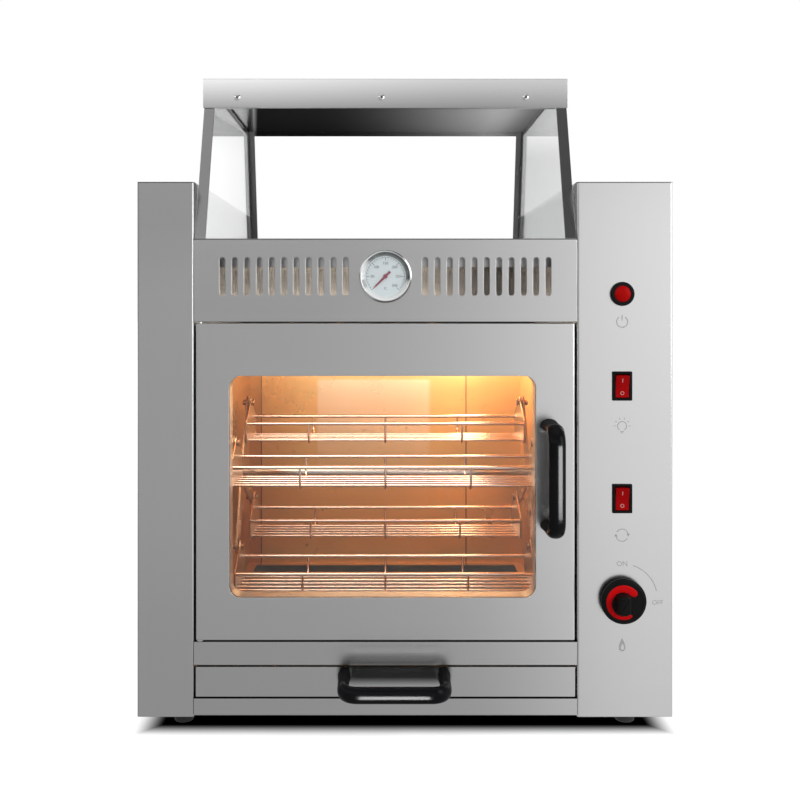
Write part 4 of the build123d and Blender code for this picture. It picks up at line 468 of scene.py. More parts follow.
left_low, left_high = limits("left_column_shell")
OUTER_LEFT, COLUMN_BACK, COLUMN_TOP = left_low[0], left_high[1], left_high[2]
X_SEAMS = (left_high[0], limits("right_column_shell")[0][0])
STRIPS = ("upper_front_panel", "door_shell", "lower_front_rail", "drawer_front")
Z_SEAMS = sorted({round(corner[2], 2) for node in STRIPS for corner in limits(node)}
                 | {round(limits("bottom_front_rail")[1][2], 2)})
DRAWER_X = middle("drawer_handle")[0]
LID_FRONT, LID_TOP = limits("canopy_roof")[0][1], limits("canopy_roof")[1][2]


def before(y, depth):
    """1 on the front face and down to a depth behind it."""
    return y < (Y_FRONT + depth) * MM


def nearest(value, places):
    """Distance to the nearest of some places, given in millimetres."""
    near = abs(value - places[0] * MM)
    for at in places[1:]:
        near = near.smaller(abs(value - at * MM))
    return near


def column_edges(m, x, y, z):
    """Painted shade: dark fold lines along the columns' top edge and the left column's outer edge, 1.3 mm
    wide.
    """
    top = m.smooth(COLUMN_TOP * MM - z, 0.0010, 0.0016, 0.70, 0.0)
    outer = m.smooth(x - OUTER_LEFT * MM, 0.0009, 0.0015, 0.50, 0.0)
    return top.larger(outer) * before(y, 6)


def panel_edges(m, x, y, z):
    """Painted shade: dark within 0.5 mm of a strip's edges, almost black in a seam; 1.4 mm wide along the
    top fold.
    """
    inside = y > (Y_FRONT + 0.4) * MM
    level = m.smooth(nearest(z, Z_SEAMS), 0.0002, 0.0006, 1.0, 0.0) * (0.6 + inside * 0.38)
    fold = m.smooth(abs(z - PANEL_TOP * MM), 0.0011, 0.0017, 0.70, 0.0)
    return level.larger(fold) * before(y, 6)


def column_tone(m, x, y, z):
    """Painted light: the inner walls are painted brighter, as a reflection; the left column is painted
    darker towards its top, the right one a little brighter.
    """
    deep = (y > (Y_FRONT + 8) * MM) * (y < (COLUMN_BACK - 0.2) * MM)
    # Painted reflection: the inner walls near the seams, above the deck, are 60 % brighter.
    painted_reflection = (nearest(x, X_SEAMS) < 0.002) * deep * (z > 0.574) * 0.6
    outside = m.smooth(z, 0.50, 0.71, 0.0, -0.28) * (x < 0) + (x > 0) * 0.045
    return 1 + painted_reflection + outside * before(y, 8)


def beside_grip(m, x, y, z):
    """Painted shade on the door beside its handle: darker from x = 155 mm to the bar."""
    painted_dark_patch = m.between(x, 0.155, 0.171, 0.180, 0.187) * m.between(z, 0.247, 0.262, 0.358, 0.373)
    return 1 - painted_dark_patch * before(y, 2) * 0.85


def above_grip(m, x, y, z):
    """Painted shade on the drawer front above its handle, and a painted bright band on the rail over it."""
    away = abs(x - DRAWER_X * MM)
    painted_dark_patch = m.smooth(z, 0.0550, 0.0685) * (z < 0.081) * m.smooth(away, 0.062, 0.071, 0.93, 0.0)
    painted_bright_band = m.between(z, 0.084, 0.090, 0.096, 0.106) * m.smooth(away, 0.040, 0.066, 0.65, 0.0)
    return 1 + (painted_bright_band - painted_dark_patch) * before(y, 2)


def behind_header(m, x, y, z):
    """1 below the lid and behind the header."""
    return (y > (LID_FRONT + 1.6) * MM) * (z < (LID_TOP - 0.6) * MM)


def right_of_strip(m, x, y, start, end):
    """A step at the slanting strip that the film leaves bare at the roof's left end."""
    return m.smooth(x + y * 0.131, -0.217, -0.206, start, end)


def matt_film(m, x, y, z):
    """Under the lid the steel is matt and not metallic, so its painted shade shows, but for a slanting
    strip at its left end.
    """
    return behind_header(m, x, y, z) * right_of_strip(m, x, y, 0.0, 1.0)


def under_roof(m, x, y, z):
    """Painted shade under the lid: the tone grows as the cube of the way across; the header is painted
    brighter upwards.
    """
    way = m.clamp((x + 0.16) / 0.30, 0.0, 1.0)
    tone = (way ** 3.0 * 0.62 + 0.02) * m.smooth(x, 0.15, 0.20, 1.0, 0.5)
    tone = tone + right_of_strip(m, x, y, 0.6, 0.0)
    return fade(behind_header(m, x, y, z), m.clamp((z - 0.763) / 0.037, 0.0, 1.0) * 0.70 + 0.62, tone)


def darker_right(m, x, y, z):
    """Painted shade: the right pillar is painted darker than the left one."""
    return m.smooth(x, -0.1, 0.1, 1.0, 0.60)


brushed("steel_panel", 0.60, 0.26, painted_seam_lines=panel_edges, painted_light_shade=above_grip)
brushed("steel_column", 0.62, 0.26, painted_seam_lines=column_edges, painted_light_shade=column_tone)
brushed("steel_door", 0.645, 0.26, painted_seam_lines=panel_edges, painted_light_shade=beside_grip)
brushed("steel_canopy", 0.66, 0.20, 0.8, painted_light_shade=darker_right)
brushed("steel_roof", 0.66, 0.20, 0.8, painted_light_shade=under_roof, film=matt_film, Specular_IOR_Level=0.0)
# Painted shade: the rear posts and the glass screws take a dark copy of the steel.
brushed("steel_painted_shade", 0.22, 0.30, 0.6)
brushed("steel_plain", 0.52, 0.40, streak=0.7)
brushed("steel_bright", 0.72, 0.22, 0.6, 0.6)
print("seams at x", X_SEAMS, "and z", Z_SEAMS)

# %% [markdown]
# ### The heated chamber
# Steel that is heated again and again turns straw gold, deeper where it is
# hottest near the burners, with darker drips and baked-on films.  Two welded
# seams run up the back wall.  A pale patch on the back wall is a painted
# reflection, and the liner's top over the chamber roof is painted dark as shade.

# %% Chamber steel
BACK_WALL, CHAMBER_ROOF, WELDS, WELD_WIDTH = 0.2, 0.4874, (-0.230, 0.111), 0.0011
m = material("steel_heated")
x, y, z = m.axes()
film, spots = m.cloud(9.0, 4.0), m.cloud(60.0)
straw = m.mix(film, (0.90, 0.57, 0.24), (0.78, 0.45, 0.17))
# Painted reflection: a pale patch high on the back wall.
painted_pale_reflection = m.between(x, -0.139, -0.134, 0.045, 0.055) * m.between(z, 0.22, 0.32, 0.388, 0.393)
straw = m.mix(painted_pale_reflection * (y > BACK_WALL) * 0.8, straw, (0.94, 0.72, 0.52))
left_end = m.smooth(x, -0.232, -0.228, 0.75, 0.0) + m.smooth(x, -0.228, -0.135, 0.28, 0.0) * (x > -0.228)
straw = m.mix(left_end, straw, (0.44, 0.20, 0.06))
bronze = m.mix(m.smooth(z, 0.10, 0.46, 0.5, 0.0), straw, (0.54, 0.26, 0.10))
weld = ((abs(x - WELDS[0]) < WELD_WIDTH) + (abs(x - WELDS[1]) < WELD_WIDTH)) * (y > BACK_WALL)
baked = m.smooth(spots, 0.62, 0.75, 0.0, 0.35)
aged = m.mix(baked, bronze, (0.22, 0.12, 0.06))
colour = m.mix(weld * 0.75, aged, (0.12, 0.06, 0.03))
rough = 0.30 + (film - 0.5) * 0.2 + baked * 0.3
# Painted shade: the liner's top over the chamber roof is near black, matt and not metallic.
painted_dark_top = z > CHAMBER_ROOF
colour = m.mix(painted_dark_top, colour, (0.012, 0.010, 0.009))
finish("steel_heated", colour, rough + painted_dark_top * 0.5, (1 - painted_dark_top) * 0.7, m.bump(film, 0.05, 0.0005))
print("chamber steel made")

# %% [markdown]
# ### Wire, chrome, zinc and brass
# The basket wire is bright-drawn steel, with a painted shade that browns it
# underneath; how far a point looks down is an attribute of the wires
# themselves.  Chrome is nearly a mirror.  Galvanised sheet shows its zinc
# crystals as a soft patchwork, which a Voronoi texture draws.

# %% Small metals


def smooth_metal(name, colour, rough, wear=0.08, speck=40.0, bevel=0.0):
    """Plain metal with faint wear: cloudy roughness and a slight colour change."""
    m = material(name)
    cloud = m.cloud(speck)
    value = m.mix(cloud, colour, [c * (1 - 2 * wear) for c in colour])
    finish(name, value, rough + (cloud - 0.5) * wear, 1.0, m.soft_edge(bevel) if bevel else None)


smooth_metal("chrome", (0.86, 0.87, 0.88), 0.10, 0.05)
smooth_metal("shaft_steel", (0.80, 0.70, 0.64), 0.16, 0.08, 60.0)
smooth_metal("heated_plate", (0.56, 0.37, 0.24), 0.34, 0.12, 40.0, 0.6)
smooth_metal("heated_pin", (0.34, 0.20, 0.12), 0.32, 0.10, 80.0)
smooth_metal("brass", (0.74, 0.52, 0.24), 0.26, 0.10, 60.0, 0.5)
smooth_metal("motor_metal", (0.42, 0.43, 0.44), 0.42, 0.10, 50.0, 0.8)

m = material("wire_bright")
speckle = m.cloud(120.0)
# Painted shade: the wire is browner where it looks down.
painted_underside_shade = m.node("ShaderNodeAttribute", {"attribute_name": "painted_underside_shade"}, None, "Fac")
colour = m.mix(painted_underside_shade, m.mix(speckle, (0.90, 0.76, 0.70), (0.80, 0.62, 0.54)), (0.26, 0.11, 0.06))
finish("wire_bright", colour, 0.20 + painted_underside_shade * 0.2 + (speckle - 0.5) * 0.1, 1.0)

m = material("galvanised")
crystal = m.node("ShaderNodeTexVoronoi", None, {"Vector": m.place(), "Scale": 70.0}, "Color")
flake = m.node("ShaderNodeSeparateColor", None, {0: crystal})
finish("galvanised", m.mix(flake, (0.46, 0.48, 0.50), (0.62, 0.64, 0.66)), 0.42 + flake * 0.12, 0.9)
print("metals", len(FINISHES))

# %% [markdown]
# ### Plastics, rubber and ceramic
# Moulded phenolic handles are black and glossy with a very fine orange-peel.
# The rocker caps and the lamp lens are clear red plastic.  Rubber is dull, with
# a little dust in its grain.

# %% Plastics


def moulded(name, colour, rough, grain=0.04, scale=900.0, bevel=0.0, duller=None, **more):
    """Moulded plastic or rubber: a fine surface grain and faint handling marks.

    duller is a function of the graph and the object coordinates, added to the
    roughness.
    """
    m = material(name)
    marks = m.cloud(35.0)
    value = m.mix(marks, colour, [min(1.0, c * 1.25 + 0.004) for c in colour])
    edge = {"Normal": m.soft_edge(bevel)} if bevel else {}
    normal = m.bump(m.cloud(scale, 2.0, 0.5), grain, 0.0002, **edge)
    roughness = rough + (marks - 0.5) * 0.08
    if duller:
        roughness = roughness + duller(m, *m.axes())
    finish(name, value, roughness, 0.0, normal, **more)


def handle_legs(m, x, y, z):
    """A handle's legs are duller than the bar, which hands keep polished."""
    return m.smooth(y, (Y_FRONT - 46) * MM, (Y_FRONT - 36) * MM, 0.0, 0.45)


moulded("handle_black", (0.005, 0.005, 0.006), 0.18, duller=handle_legs, Specular_IOR_Level=0.05)
moulded("black_gloss", (0.005, 0.005, 0.006), 0.18, Specular_IOR_Level=0.08)
moulded("black_satin", (0.004, 0.004, 0.004), 0.36, bevel=0.4, Specular_IOR_Level=0.08)
# Painted shade for the bottom of the screws' cross recesses.
moulded("screw_recess", (0.02, 0.02, 0.02), 0.5)
moulded("red_cap", (0.36, 0.001, 0.002), 0.30, Specular_IOR_Level=0.04)
moulded(
    "red_lens", (0.34, 0.002, 0.002), 0.22, Specular_IOR_Level=0.03, Emission_Color=(0.5, 0.0, 0.0, 1.0),
    Emission_Strength=0.10,
)
moulded("red_inlay", (0.58, 0.002, 0.004), 0.30, Specular_IOR_Level=0.05)
moulded("rubber", (0.016, 0.016, 0.017), 0.62, 0.25, 420.0)
moulded("seal_rubber", (0.10, 0.035, 0.022), 0.60, 0.2, 420.0)
moulded("ceramic", (0.62, 0.58, 0.50), 0.45, 0.1, 300.0, 0.8)
moulded("panel_print", (0.40, 0.40, 0.41), 0.55, 0.02)
moulded("white_print", (0.62, 0.30, 0.28), 0.5, 0.02)
moulded("dial_print", (0.05, 0.05, 0.06), 0.5, 0.02)
moulded("pointer_red", (0.30, 0.012, 0.060), 0.35, 0.02, Specular_IOR_Level=0.2)
print("plastics made, finishes", len(FINISHES))

# %% [markdown]
# ### Glass and the lit bulb
# Clear panes let everything through with a thin cold edge; a trace of wiping
# marks lives in their roughness.  The bulb's cover glows.

# %% Glass
m = material("clear_glass")
smear = m.noise(m.stretched((1.0, 1.0, 2.5)), 6.0, 4.0, 0.6)
colour = m.mix(smear, (0.985, 0.995, 0.99), (0.96, 0.985, 0.975))
finish("clear_glass", colour, m.smooth(smear, 0.45, 0.8, 0.0, 0.05), Transmission_Weight=1.0, IOR=1.45)

m = material("gauge_glass")
smear = m.cloud(60.0)
colour = m.mix(smear, (0.95, 0.97, 0.97), (0.90, 0.93, 0.93))
finish("gauge_glass", colour, 0.04 + smear * 0.04, Alpha=0.05 + smear * 0.04)

m = material("bulb_glow")
cloud = m.cloud(80.0, 3.0, 0.5)
colour = m.mix(cloud, (1.0, 0.80, 0.52), (1.0, 0.70, 0.38))
finish("bulb_glow", colour, 0.3 + cloud * 0.1, Emission_Color=colour, Emission_Strength=1.6)
print("glass made")

# %% [markdown]
# ## Surfaces from numbers
#
# Every new shape is a grid of points worked out at once with numpy.  A turned
# piece carries a profile round an axis, a bar carries an oval along a path,
# and a plate is a stack of outlines.  The helpers only differ in the formula
# for the points; the faces between them are always the same grid.

# %% Grids, paths and outlines


def grid(points, close_rows=False, close_cols=True):
    """Shape from points[row, column]: quads join each row to the next."""
    rows, cols = points.shape[:2]
    r = np.arange(rows if close_rows else rows - 1)[:, None]
    c = np.arange(cols if close_cols else cols - 1)[None, :]
    below, beside = (r + 1) % rows, (c + 1) % cols
    quads = np.stack([r * cols + c, below * cols + c, below * cols + beside, r * cols + beside], -1)
    return points.reshape(-1, 3), quads.reshape(-1, 4).tolist()


def capped(points):
    """Grid whose first and last rows are filled in."""
    shape, faces = grid(points)
    n, last = points.shape[1], len(shape) - points.shape[1]
    return shape, faces + [list(range(n))[::-1], list(range(last, last + n))]


def merged(*shapes):
    """Several shapes as one list of points and faces."""
    points, faces, count = [], [], 0
    for pts, quads in shapes:
        points.append(pts)
        faces += [[i + count for i in face] for face in quads]
        count += len(pts)
    return np.concatenate(points), faces


def around(count):
    """Angles of a full turn, in equal steps."""
    return np.linspace(0, 2 * math.pi, count, endpoint=False)


def unit(angles):
    """Points of a circle of radius 1, at angles from its x axis."""
    return np.stack([np.cos(angles), np.sin(angles)], -1)


def spread(flat, x_way=RIGHT, y_way=UP):
    """Flat points in space: x * x_way + y * y_way."""
    flat = np.asarray(flat, float)
    return flat[..., :1] * x_way + flat[..., 1:] * y_way


def evenly(points, count, closed=False):
    """Flat points at equal distances along a polyline."""
    if closed:
        points = np.concatenate([points, points[:1]])
    steps = np.concatenate([[0], np.cumsum(np.linalg.norm(np.diff(points, axis=0), axis=1))])
    even = np.linspace(0, steps[-1], count, endpoint=not closed)
    return np.stack([np.interp(even, steps, points[:, i]) for i in (0, 1)], 1)


def rounded(points, radius, steps=6, closed=False):
    """Polyline whose corners are arcs.

    At a corner with unit edges u and v the arc starts radius / tan(half angle)
    along u, and its centre lies on the bisector, radius / sin(half angle) away.
    """
    points = np.array(points, float)
    count = len(points)
    radii = np.broadcast_to(radius, count)
    made = []
    for i, corner in enumerate(points):
        if not closed and i in (0, count - 1):
            made.append(corner[None])
            continue
        u, v = points[i - 1] - corner, points[(i + 1) % count] - corner
        long_u, long_v = np.linalg.norm(u), np.linalg.norm(v)
        u, v = u / long_u, v / long_v
        half = math.acos(np.clip(u @ v, -1, 1)) / 2
        r = min(radii[i], 0.49 * min(long_u, long_v) * math.tan(half))
        if r < 1e-6 or half > 1.56:
            made.append(corner[None])
            continue
        centre = corner + (u + v) / np.linalg.norm(u + v) * r / math.sin(half)
        a, b = corner + u * r / math.tan(half) - centre, corner + v * r / math.tan(half) - centre
        whole = math.pi - 2 * half
        t = np.linspace(0, 1, steps + 1)[:, None]
        made.append(centre + (a * np.sin((1 - t) * whole) + b * np.sin(t * whole)) / math.sin(whole))
    return np.concatenate(made)


def turned(profile, centre, segments, axis=OUT, spoke=RIGHT, ring=False):
    """Turned piece: centre + along * axis + radius * (cos t * spoke + sin t * third).

    The profile is a list of (along, radius); third is axis x spoke.
    """
    profile = np.array(profile, float)[:, None]
    round_way = spread(unit(around(segments)), spoke, np.cross(axis, spoke))
    return grid(centre + profile[..., :1] * axis + profile[..., 1:] * round_way, close_rows=ring)


def bar(path, side, half_side, half_other, segments):
    """Bar along a path in one plane: path + a cos t * side + b sin t * across.

    across is tangent x side.  The half widths may change along the path, and
    the ends are closed by a row of zero width.
    """
    tangent = np.gradient(path, axis=0)
    tangent /= np.linalg.norm(tangent, axis=1)[:, None]
    across = np.cross(tangent, side)
    a, b = (np.pad(np.broadcast_to(half, len(path)), 1) for half in (half_side, half_other))
    path, across = (np.pad(rows, ((1, 1), (0, 0)), "edge") for rows in (path, across))
    wide, deep = np.outer(a, np.cos(around(segments))), np.outer(b, np.sin(around(segments)))
    return grid(path[:, None] + wide[..., None] * side + deep[..., None] * across[:, None])


def inset(outline, distance):
    """Outline (counter-clockwise) moved inwards by a distance, point by point."""
    edge = np.roll(outline, -1, axis=0) - outline
    edge = edge / np.linalg.norm(edge, axis=1)[:, None]
    normal = np.stack([-edge[:, 1], edge[:, 0]], 1)
    normal_before = np.roll(normal, 1, axis=0)
    way = normal_before + normal
    way /= np.maximum(np.sum(way * normal_before, axis=1), 0.3)[:, None]
    return outline + way * distance


def stack(rows, origin, x_way=RIGHT, y_way=UP):
    """Rows of (outline, height) over a plane: origin + x * x_way + y * y_way + height * normal."""
    normal = np.cross(x_way, y_way)
    return np.stack([origin + spread(outline, x_way, y_way) + height * normal for outline, height in rows])


def slab(outline, rows, origin, x_way=RIGHT, y_way=UP):
    """Plate from (height, inset) rows of one outline, closed by flat ends."""
    outline = np.asarray(outline, float)
    return capped(stack([(inset(outline, d), h) for h, d in rows], origin, x_way, y_way))


def box_outline(width, height, corner, steps=5):
    """Round-cornered rectangle about the origin, counter-clockwise."""
    x, y = width / 2, height / 2
    return rounded([(-x, -y), (x, -y), (x, y), (-x, y)], corner, steps, closed=True)


print("shape helpers ready")

# %% [markdown]
# A mesh goes into the scene in one place.  Its doubled points are merged, its
# faces are turned outwards, and edges sharper than a limit stay crisp while
# the rest is shaded smooth.

# %% From numbers to a piece
PIECES = []


def piece(name, shape, finish_name, node=None, body="cabinet", sharp=40.0):
    """Puts a shape (millimetres) into the scene, riding on a body.

    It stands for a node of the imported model, if one is given.
    """
    points, faces = shape
    mesh = bpy.data.meshes.new(name)
    mesh.from_pydata((points * MM).tolist(), [], faces)
    work = bmesh.new()
    work.from_mesh(mesh)
    bmesh.ops.remove_doubles(work, verts=work.verts, dist=1e-7)
    bmesh.ops.recalc_face_normals(work, faces=work.faces)
    work.to_mesh(mesh)
    work.free()
    mesh.polygons.foreach_set("use_smooth", np.ones(len(mesh.polygons), bool))
    mesh.set_sharp_from_angle(angle=math.radians(sharp))
    mesh.materials.append(FINISHES[finish_name])
    made = stand(name, mesh)
    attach(made, body)
    if node:
        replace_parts(made, node)
    PIECES.append(made)
    return made


print("ready to make pieces")

# %% [markdown]
# ## Bow handles
#
# The two handles are the same moulding: an oval bar bent twice.  An oval
# carried along a round-cornered path gives it; the bar swells a little into
# its two feet, as a moulded handle does.

# %% Handles
HANDLE_SPAN, HANDLE_BEND, GRIP_WIDTH, GRIP_DEPTH = 120.0, 17.0, 19.5, 13.0
HANDLE_REACH = Y_FRONT - limits("door_handle")[0][1] - 0.02


def bow_handle(centre, along, side):
    """Handle whose bar runs along one way, with its width along the side way."""
    half, out = HANDLE_SPAN / 2, HANDLE_REACH - GRIP_DEPTH / 2
    flat = evenly(rounded([(-half, 0), (-half, out), (half, out), (half, 0)], HANDLE_BEND, 14), 60)
    swell = 1.2 * np.exp(-flat[:, 1] / 5.0)
    return bar(centre + spread(flat, along, OUT), side, GRIP_WIDTH / 2 + swell, GRIP_DEPTH / 2 + swell, 32)


for name, body, along, side, grip_lamp in (
    ("door", "door", UP, RIGHT, door_grip), ("drawer", "crumb_drawer", RIGHT, UP, drawer_grip),
):
    shape = bow_handle(on_front(f"{name}_handle"), along, side)
    bow = piece(f"{name}_bow", shape, "handle_black", f"{name}_handle", body)
    grip_lamp.objects.link(bow)
    print(name, "handle at", on_front(f"{name}_handle"))

# %% [markdown]
# ## Gas knob
#
# A skirted knob with a raised finger grip.  The skirt is turned; the grip is a
# stack of outlines that lean inwards: two flat sides and two round ends.  The
# red inlay is a crescent, thick at the top and thin below: a bar along an arc
# whose width changes.

# %% Knob
knob_at = on_front("ignition_knob")
LIFT, FACE, KNOB_RADIUS, GRIP_HEIGHT = 5.5, 10.5, 27.0, 15.0
skirt_profile = [
    (LIFT, 0), (LIFT, KNOB_RADIUS - 1), (LIFT + 1, KNOB_RADIUS), (FACE - 0.6, KNOB_RADIUS),
    (FACE + 0.4, KNOB_RADIUS - 3.5), (FACE, KNOB_RADIUS - 5), (FACE, 0),
]
skirt = turned(rounded(skirt_profile, 1.0, 5), knob_at, 72)
HALF_GRIP, GRIP_END = 8.0, 12.4
flat_side = np.linspace(-1, 1, 17) * math.sqrt(GRIP_END**2 - HALF_GRIP**2)
corner = math.acos(HALF_GRIP / GRIP_END)
round_end = GRIP_END * unit(np.linspace(corner, math.pi - corner, 15)[1:-1])
half_outline = np.concatenate([np.stack([np.full(17, HALF_GRIP), flat_side], 1), round_end])
grip_rows = [(0, -0.8), (0.4, -0.25), (1.2, 0)]
grip_rows += [(GRIP_HEIGHT - below, lean) for below, lean in ((2.4, 0.7), (1.0, 1.0), (0.3, 1.7), (0, 2.9))]
grip_at = knob_at + OUT * FACE + spread((-2.2, -1.6))
grip = slab(np.concatenate([half_outline, -half_outline]), grip_rows, grip_at)
piece("gas_knob", merged(skirt, grip), "black_satin", "ignition_knob", "knob")

RING_OUTER, RING_INNER, DROP = 20.8, 13.7, 2.6  # the inner circle lies lower, by DROP
turn = np.radians(np.linspace(26, 304, 90))
inner_reach = -DROP * np.sin(turn) + np.sqrt(RING_INNER**2 - (DROP * np.cos(turn)) ** 2)
mid_reach, half_wide = (RING_OUTER + inner_reach) / 2, (RING_OUTER - inner_reach) / 2
ends = np.sqrt(1 - (1 - np.minimum(np.linspace(0, 18, 90), 1)) ** 2)
half_wide = np.maximum(half_wide * np.minimum(ends, ends[::-1]), 0.15)
arc_path = knob_at + OUT * (FACE - 0.2) + spread((-0.6, -0.9)) + spread(unit(turn) * mid_reach[:, None])
crescent = bar(arc_path, OUT, 0.75, half_wide, 16)
piece("knob_crescent", crescent, "red_inlay", "knob_ring", "knob")
print("knob at", knob_at)

# %% [markdown]
# ## Thermometer
#
# A chrome case with a rolled rim and a hollow cove that leads down to a pale
# dial.  The scale is printed: short ticks, longer ones at each fifty degrees,
# and plain numbers.

# %% Thermometer case and dial
gauge_at = on_front("thermometer_case")
DIAL_FACE, SCALE_START, DEGREES_PER_TICK = 2.0, 225, 9
case_profile = rounded(
    [(0.2, 29.5), (0.0, 30.2), (1.2, 31.5), (4.6, 31.5), (7.0, 30.2), (7.0, 29.2), (4.6, 26.6), (2.9, 24.6),
     (2.1, 24.4), (2.1, 26.4), (0.2, 27.0)],
    [0.7, 0.7, 0.7, 0.7, 0.7, 0.7, 3.0, 0.3, 0.1, 0.3, 0.7], 5, closed=True,
)
m = material("gauge_chrome")
x, y, z = m.axes()
across, rise = x - gauge_at[0] * MM, z - gauge_at[2] * MM
radius = (across * across + rise * rise) ** 0.5
cloud = m.cloud(60.0)
# The cove and rim carry painted light: shade in the cove's upper right, a painted white reflection low in
# the cove, and shade on the rim's lower right.
in_cove = (radius < 0.0290) * (y > (Y_FRONT - 7.2) * MM)
above_right = (rise * 0.75 + across * 0.66) / radius
shaded = in_cove * m.smooth(above_right, -0.45, 0.35)
below = (across * 0.1 - rise) / radius
white = in_cove * m.smooth(below, 0.25, 0.60)
below_right = (across * 0.5 - rise * 0.87) / radius
rim = m.smooth(radius, 0.0292, 0.0301) * m.smooth(below_right, 0.35, 0.75)
colour = m.mix(cloud, (0.92, 0.93, 0.93), (0.84, 0.86, 0.87))
colour = m.mix(shaded * 0.86, colour, (0.10, 0.12, 0.12))
colour = m.mix(white, colour, (0.97, 0.98, 0.98))
colour = m.mix(rim * 0.85, colour, (0.10, 0.09, 0.07))
finish("gauge_chrome", colour, 0.10 + white * 0.3 + cloud * 0.04, 1 - white)
case = turned(case_profile, gauge_at, 96, ring=True)
piece("gauge_case", case, "gauge_chrome", "thermometer_case")
m = material("dial_face")
mottle = m.cloud(160.0, 3.0, 0.5)
finish("dial_face", m.mix(mottle, (0.84, 0.94, 0.97), (0.89, 0.97, 0.99)), 0.42 + mottle * 0.1)
dial_profile = [(1.2, 0), (1.2, 26.6), (DIAL_FACE, 26.6), (DIAL_FACE, 0)]
piece("gauge_dial", turned(dial_profile, gauge_at, 72), "dial_face", "thermometer_dial")


def strokes(lines, origin, lift=0.1):
    """Printed strokes: each (x0, y0, x1, y1, width) becomes a thin flat block."""
    shapes = []
    for x0, y0, x1, y1, width in lines:
        a, b = np.array([x0, y0]), np.array([x1, y1])
        way = (b - a) / np.linalg.norm(b - a)
        cross = np.array([-way[1], way[0]]) * width / 2
        shapes.append(slab([a - cross, b - cross, b + cross, a + cross], [(0, 0), (lift, 0)], origin))
    return merged(*shapes)


def lettering(name, text, size, origin, finish_name, lift=0.08):
    """Plain characters as a thin mesh, centred on a point and facing the front."""
    data = bpy.data.curves.new(name, "FONT")
    data.body, data.size, data.extrude = text, size, lift / 2
    data.align_x, data.align_y = "CENTER", "CENTER"
    data.resolution_u = 3
    temporary = stand(name, data)
    bpy.context.view_layer.update()
    flat = bpy.data.meshes.new_from_object(temporary.evaluated_get(bpy.context.evaluated_depsgraph_get()))
    points = np.array([vertex.co for vertex in flat.vertices])
    faces = [list(face.vertices) for face in flat.polygons]
    bpy.data.objects.remove(temporary)
    bpy.data.meshes.remove(flat)
    points = origin + spread(points[:, :2]) + (points[:, 2:] + lift / 2) * OUT
    piece(name, (points, faces), finish_name)


dial_at = gauge_at + OUT * DIAL_FACE
marks = []
for step in range(31):
    inner_end, wide = (20.8, 0.3) if step % 5 else (19.2, 0.55)
    way = unit(math.radians(SCALE_START - DEGREES_PER_TICK * step))
    marks.append((*(inner_end * way), *(22.6 * way), wide))
sweep = np.radians(np.linspace(SCALE_START, SCALE_START - DEGREES_PER_TICK * 30, 100))
scale_line = bar(dial_at + OUT * 0.03 + spread(22.9 * unit(sweep)), OUT, 0.06, 0.16, 8)
piece("gauge_scale", merged(strokes(marks, dial_at, 0.08), scale_line), "dial_print")
for number in range(0, 301, 50):
    spot = dial_at + spread(15.6 * unit(math.radians(SCALE_START - DEGREES_PER_TICK * number / 10)))
    lettering(f"gauge_number_{number}", str(number), 4.6, spot, "dial_print")
lettering("gauge_unit", "C", 4.2, dial_at - UP * 14.5, "dial_print")
print("gauge at", gauge_at)

# %% [markdown]
# The hand is a slim blade with a counterweight on a round hub, and turns with
# the thermometer's own joint.  It rests on the lowest mark, at the lower left.

# %% Hand and glass
hand_x, hand_y = (spread(unit(math.radians(SCALE_START + turn))) for turn in (0, 90))
blade = np.array([(-8.0, 1.4), (-2.0, 1.1), (4.0, 1.4), (12.0, 1.05), (19.5, 0.5)])
blade = np.concatenate([blade * [1, -1], blade[::-1]])
hand_at = gauge_at + OUT * 2.6
hub_profile = rounded([(-0.5, 0), (-0.5, 2.6), (1.1, 2.6), (1.1, 0)], [0, 0, 0.6, 0], 4)
hand = merged(
    slab(blade, [(0, 0), (0.45, 0), (0.7, 0.2)], hand_at, hand_x, hand_y),
    turned(hub_profile, hand_at, 32),
    turned([(-2.4, 0), (-2.4, 0.78), (0, 0.78), (0, 0)], hand_at, 16),
)
piece("gauge_hand", hand, "pointer_red", "thermometer_pointer", "dial_hand")
pane = rounded([(4.2, 0), (4.2, 26.2), (5.0, 27.2), (5.4, 26.0), (6.0, 0)], [0, 0.2, 0.3, 0.3, 0], 3)
piece("gauge_glass", turned(pane, gauge_at, 72), "gauge_glass", "thermometer_glass")
print("hand rests at", SCALE_START, "degrees")

# %% [markdown]
# ## Signal lamp and rocker switches
#
# The lamp is a turned bezel with a low dome.  A rocker is a cap that tips in
# its frame; its two faces meet in a shallow valley and carry a bar and a ring,
# the usual marks for on and off.

# %% Signal lamp
lamp_at = on_front("power_lamp_bezel")
bezel_profile = rounded(
    [(-22.0, 0), (-22.0, 11.5), (0.0, 11.5), (0.0, 14.4), (3.0, 14.4), (4.0, 13.2), (4.0, 9.8), (0.0, 9.8),
     (0.0, 0)],
    [0, 1, 0, 0.2, 0.8, 0.6, 0.3, 0, 0], 4,
)
piece("lamp_bezel", turned(bezel_profile, lamp_at, 64), "black_gloss", "power_lamp_bezel")
dome = unit(np.linspace(0, math.pi / 2, 14)) ** [1.2, 1.0] * [3.2, 9.7] + [3.8, 0.0]
lens_profile = np.concatenate([dome, [(0.1, 9.7), (0.1, 0)]])
piece("lamp_lens", turned(lens_profile, lamp_at, 64), "red_lens", "power_lamp_lens")
print("lamp at", lamp_at)

# %% Rocker switches
TILT, HALF_HEIGHT, HALF_WIDTH, VALLEY, PIVOT_DEPTH = math.radians(8.0), 14.2, 8.0, 3.6, 2.0
CAP_BACK, CAP_REACH = 5.0, 14.15
TIP = np.array([(math.cos(TILT), math.sin(TILT)), (-math.sin(TILT), math.cos(TILT))])


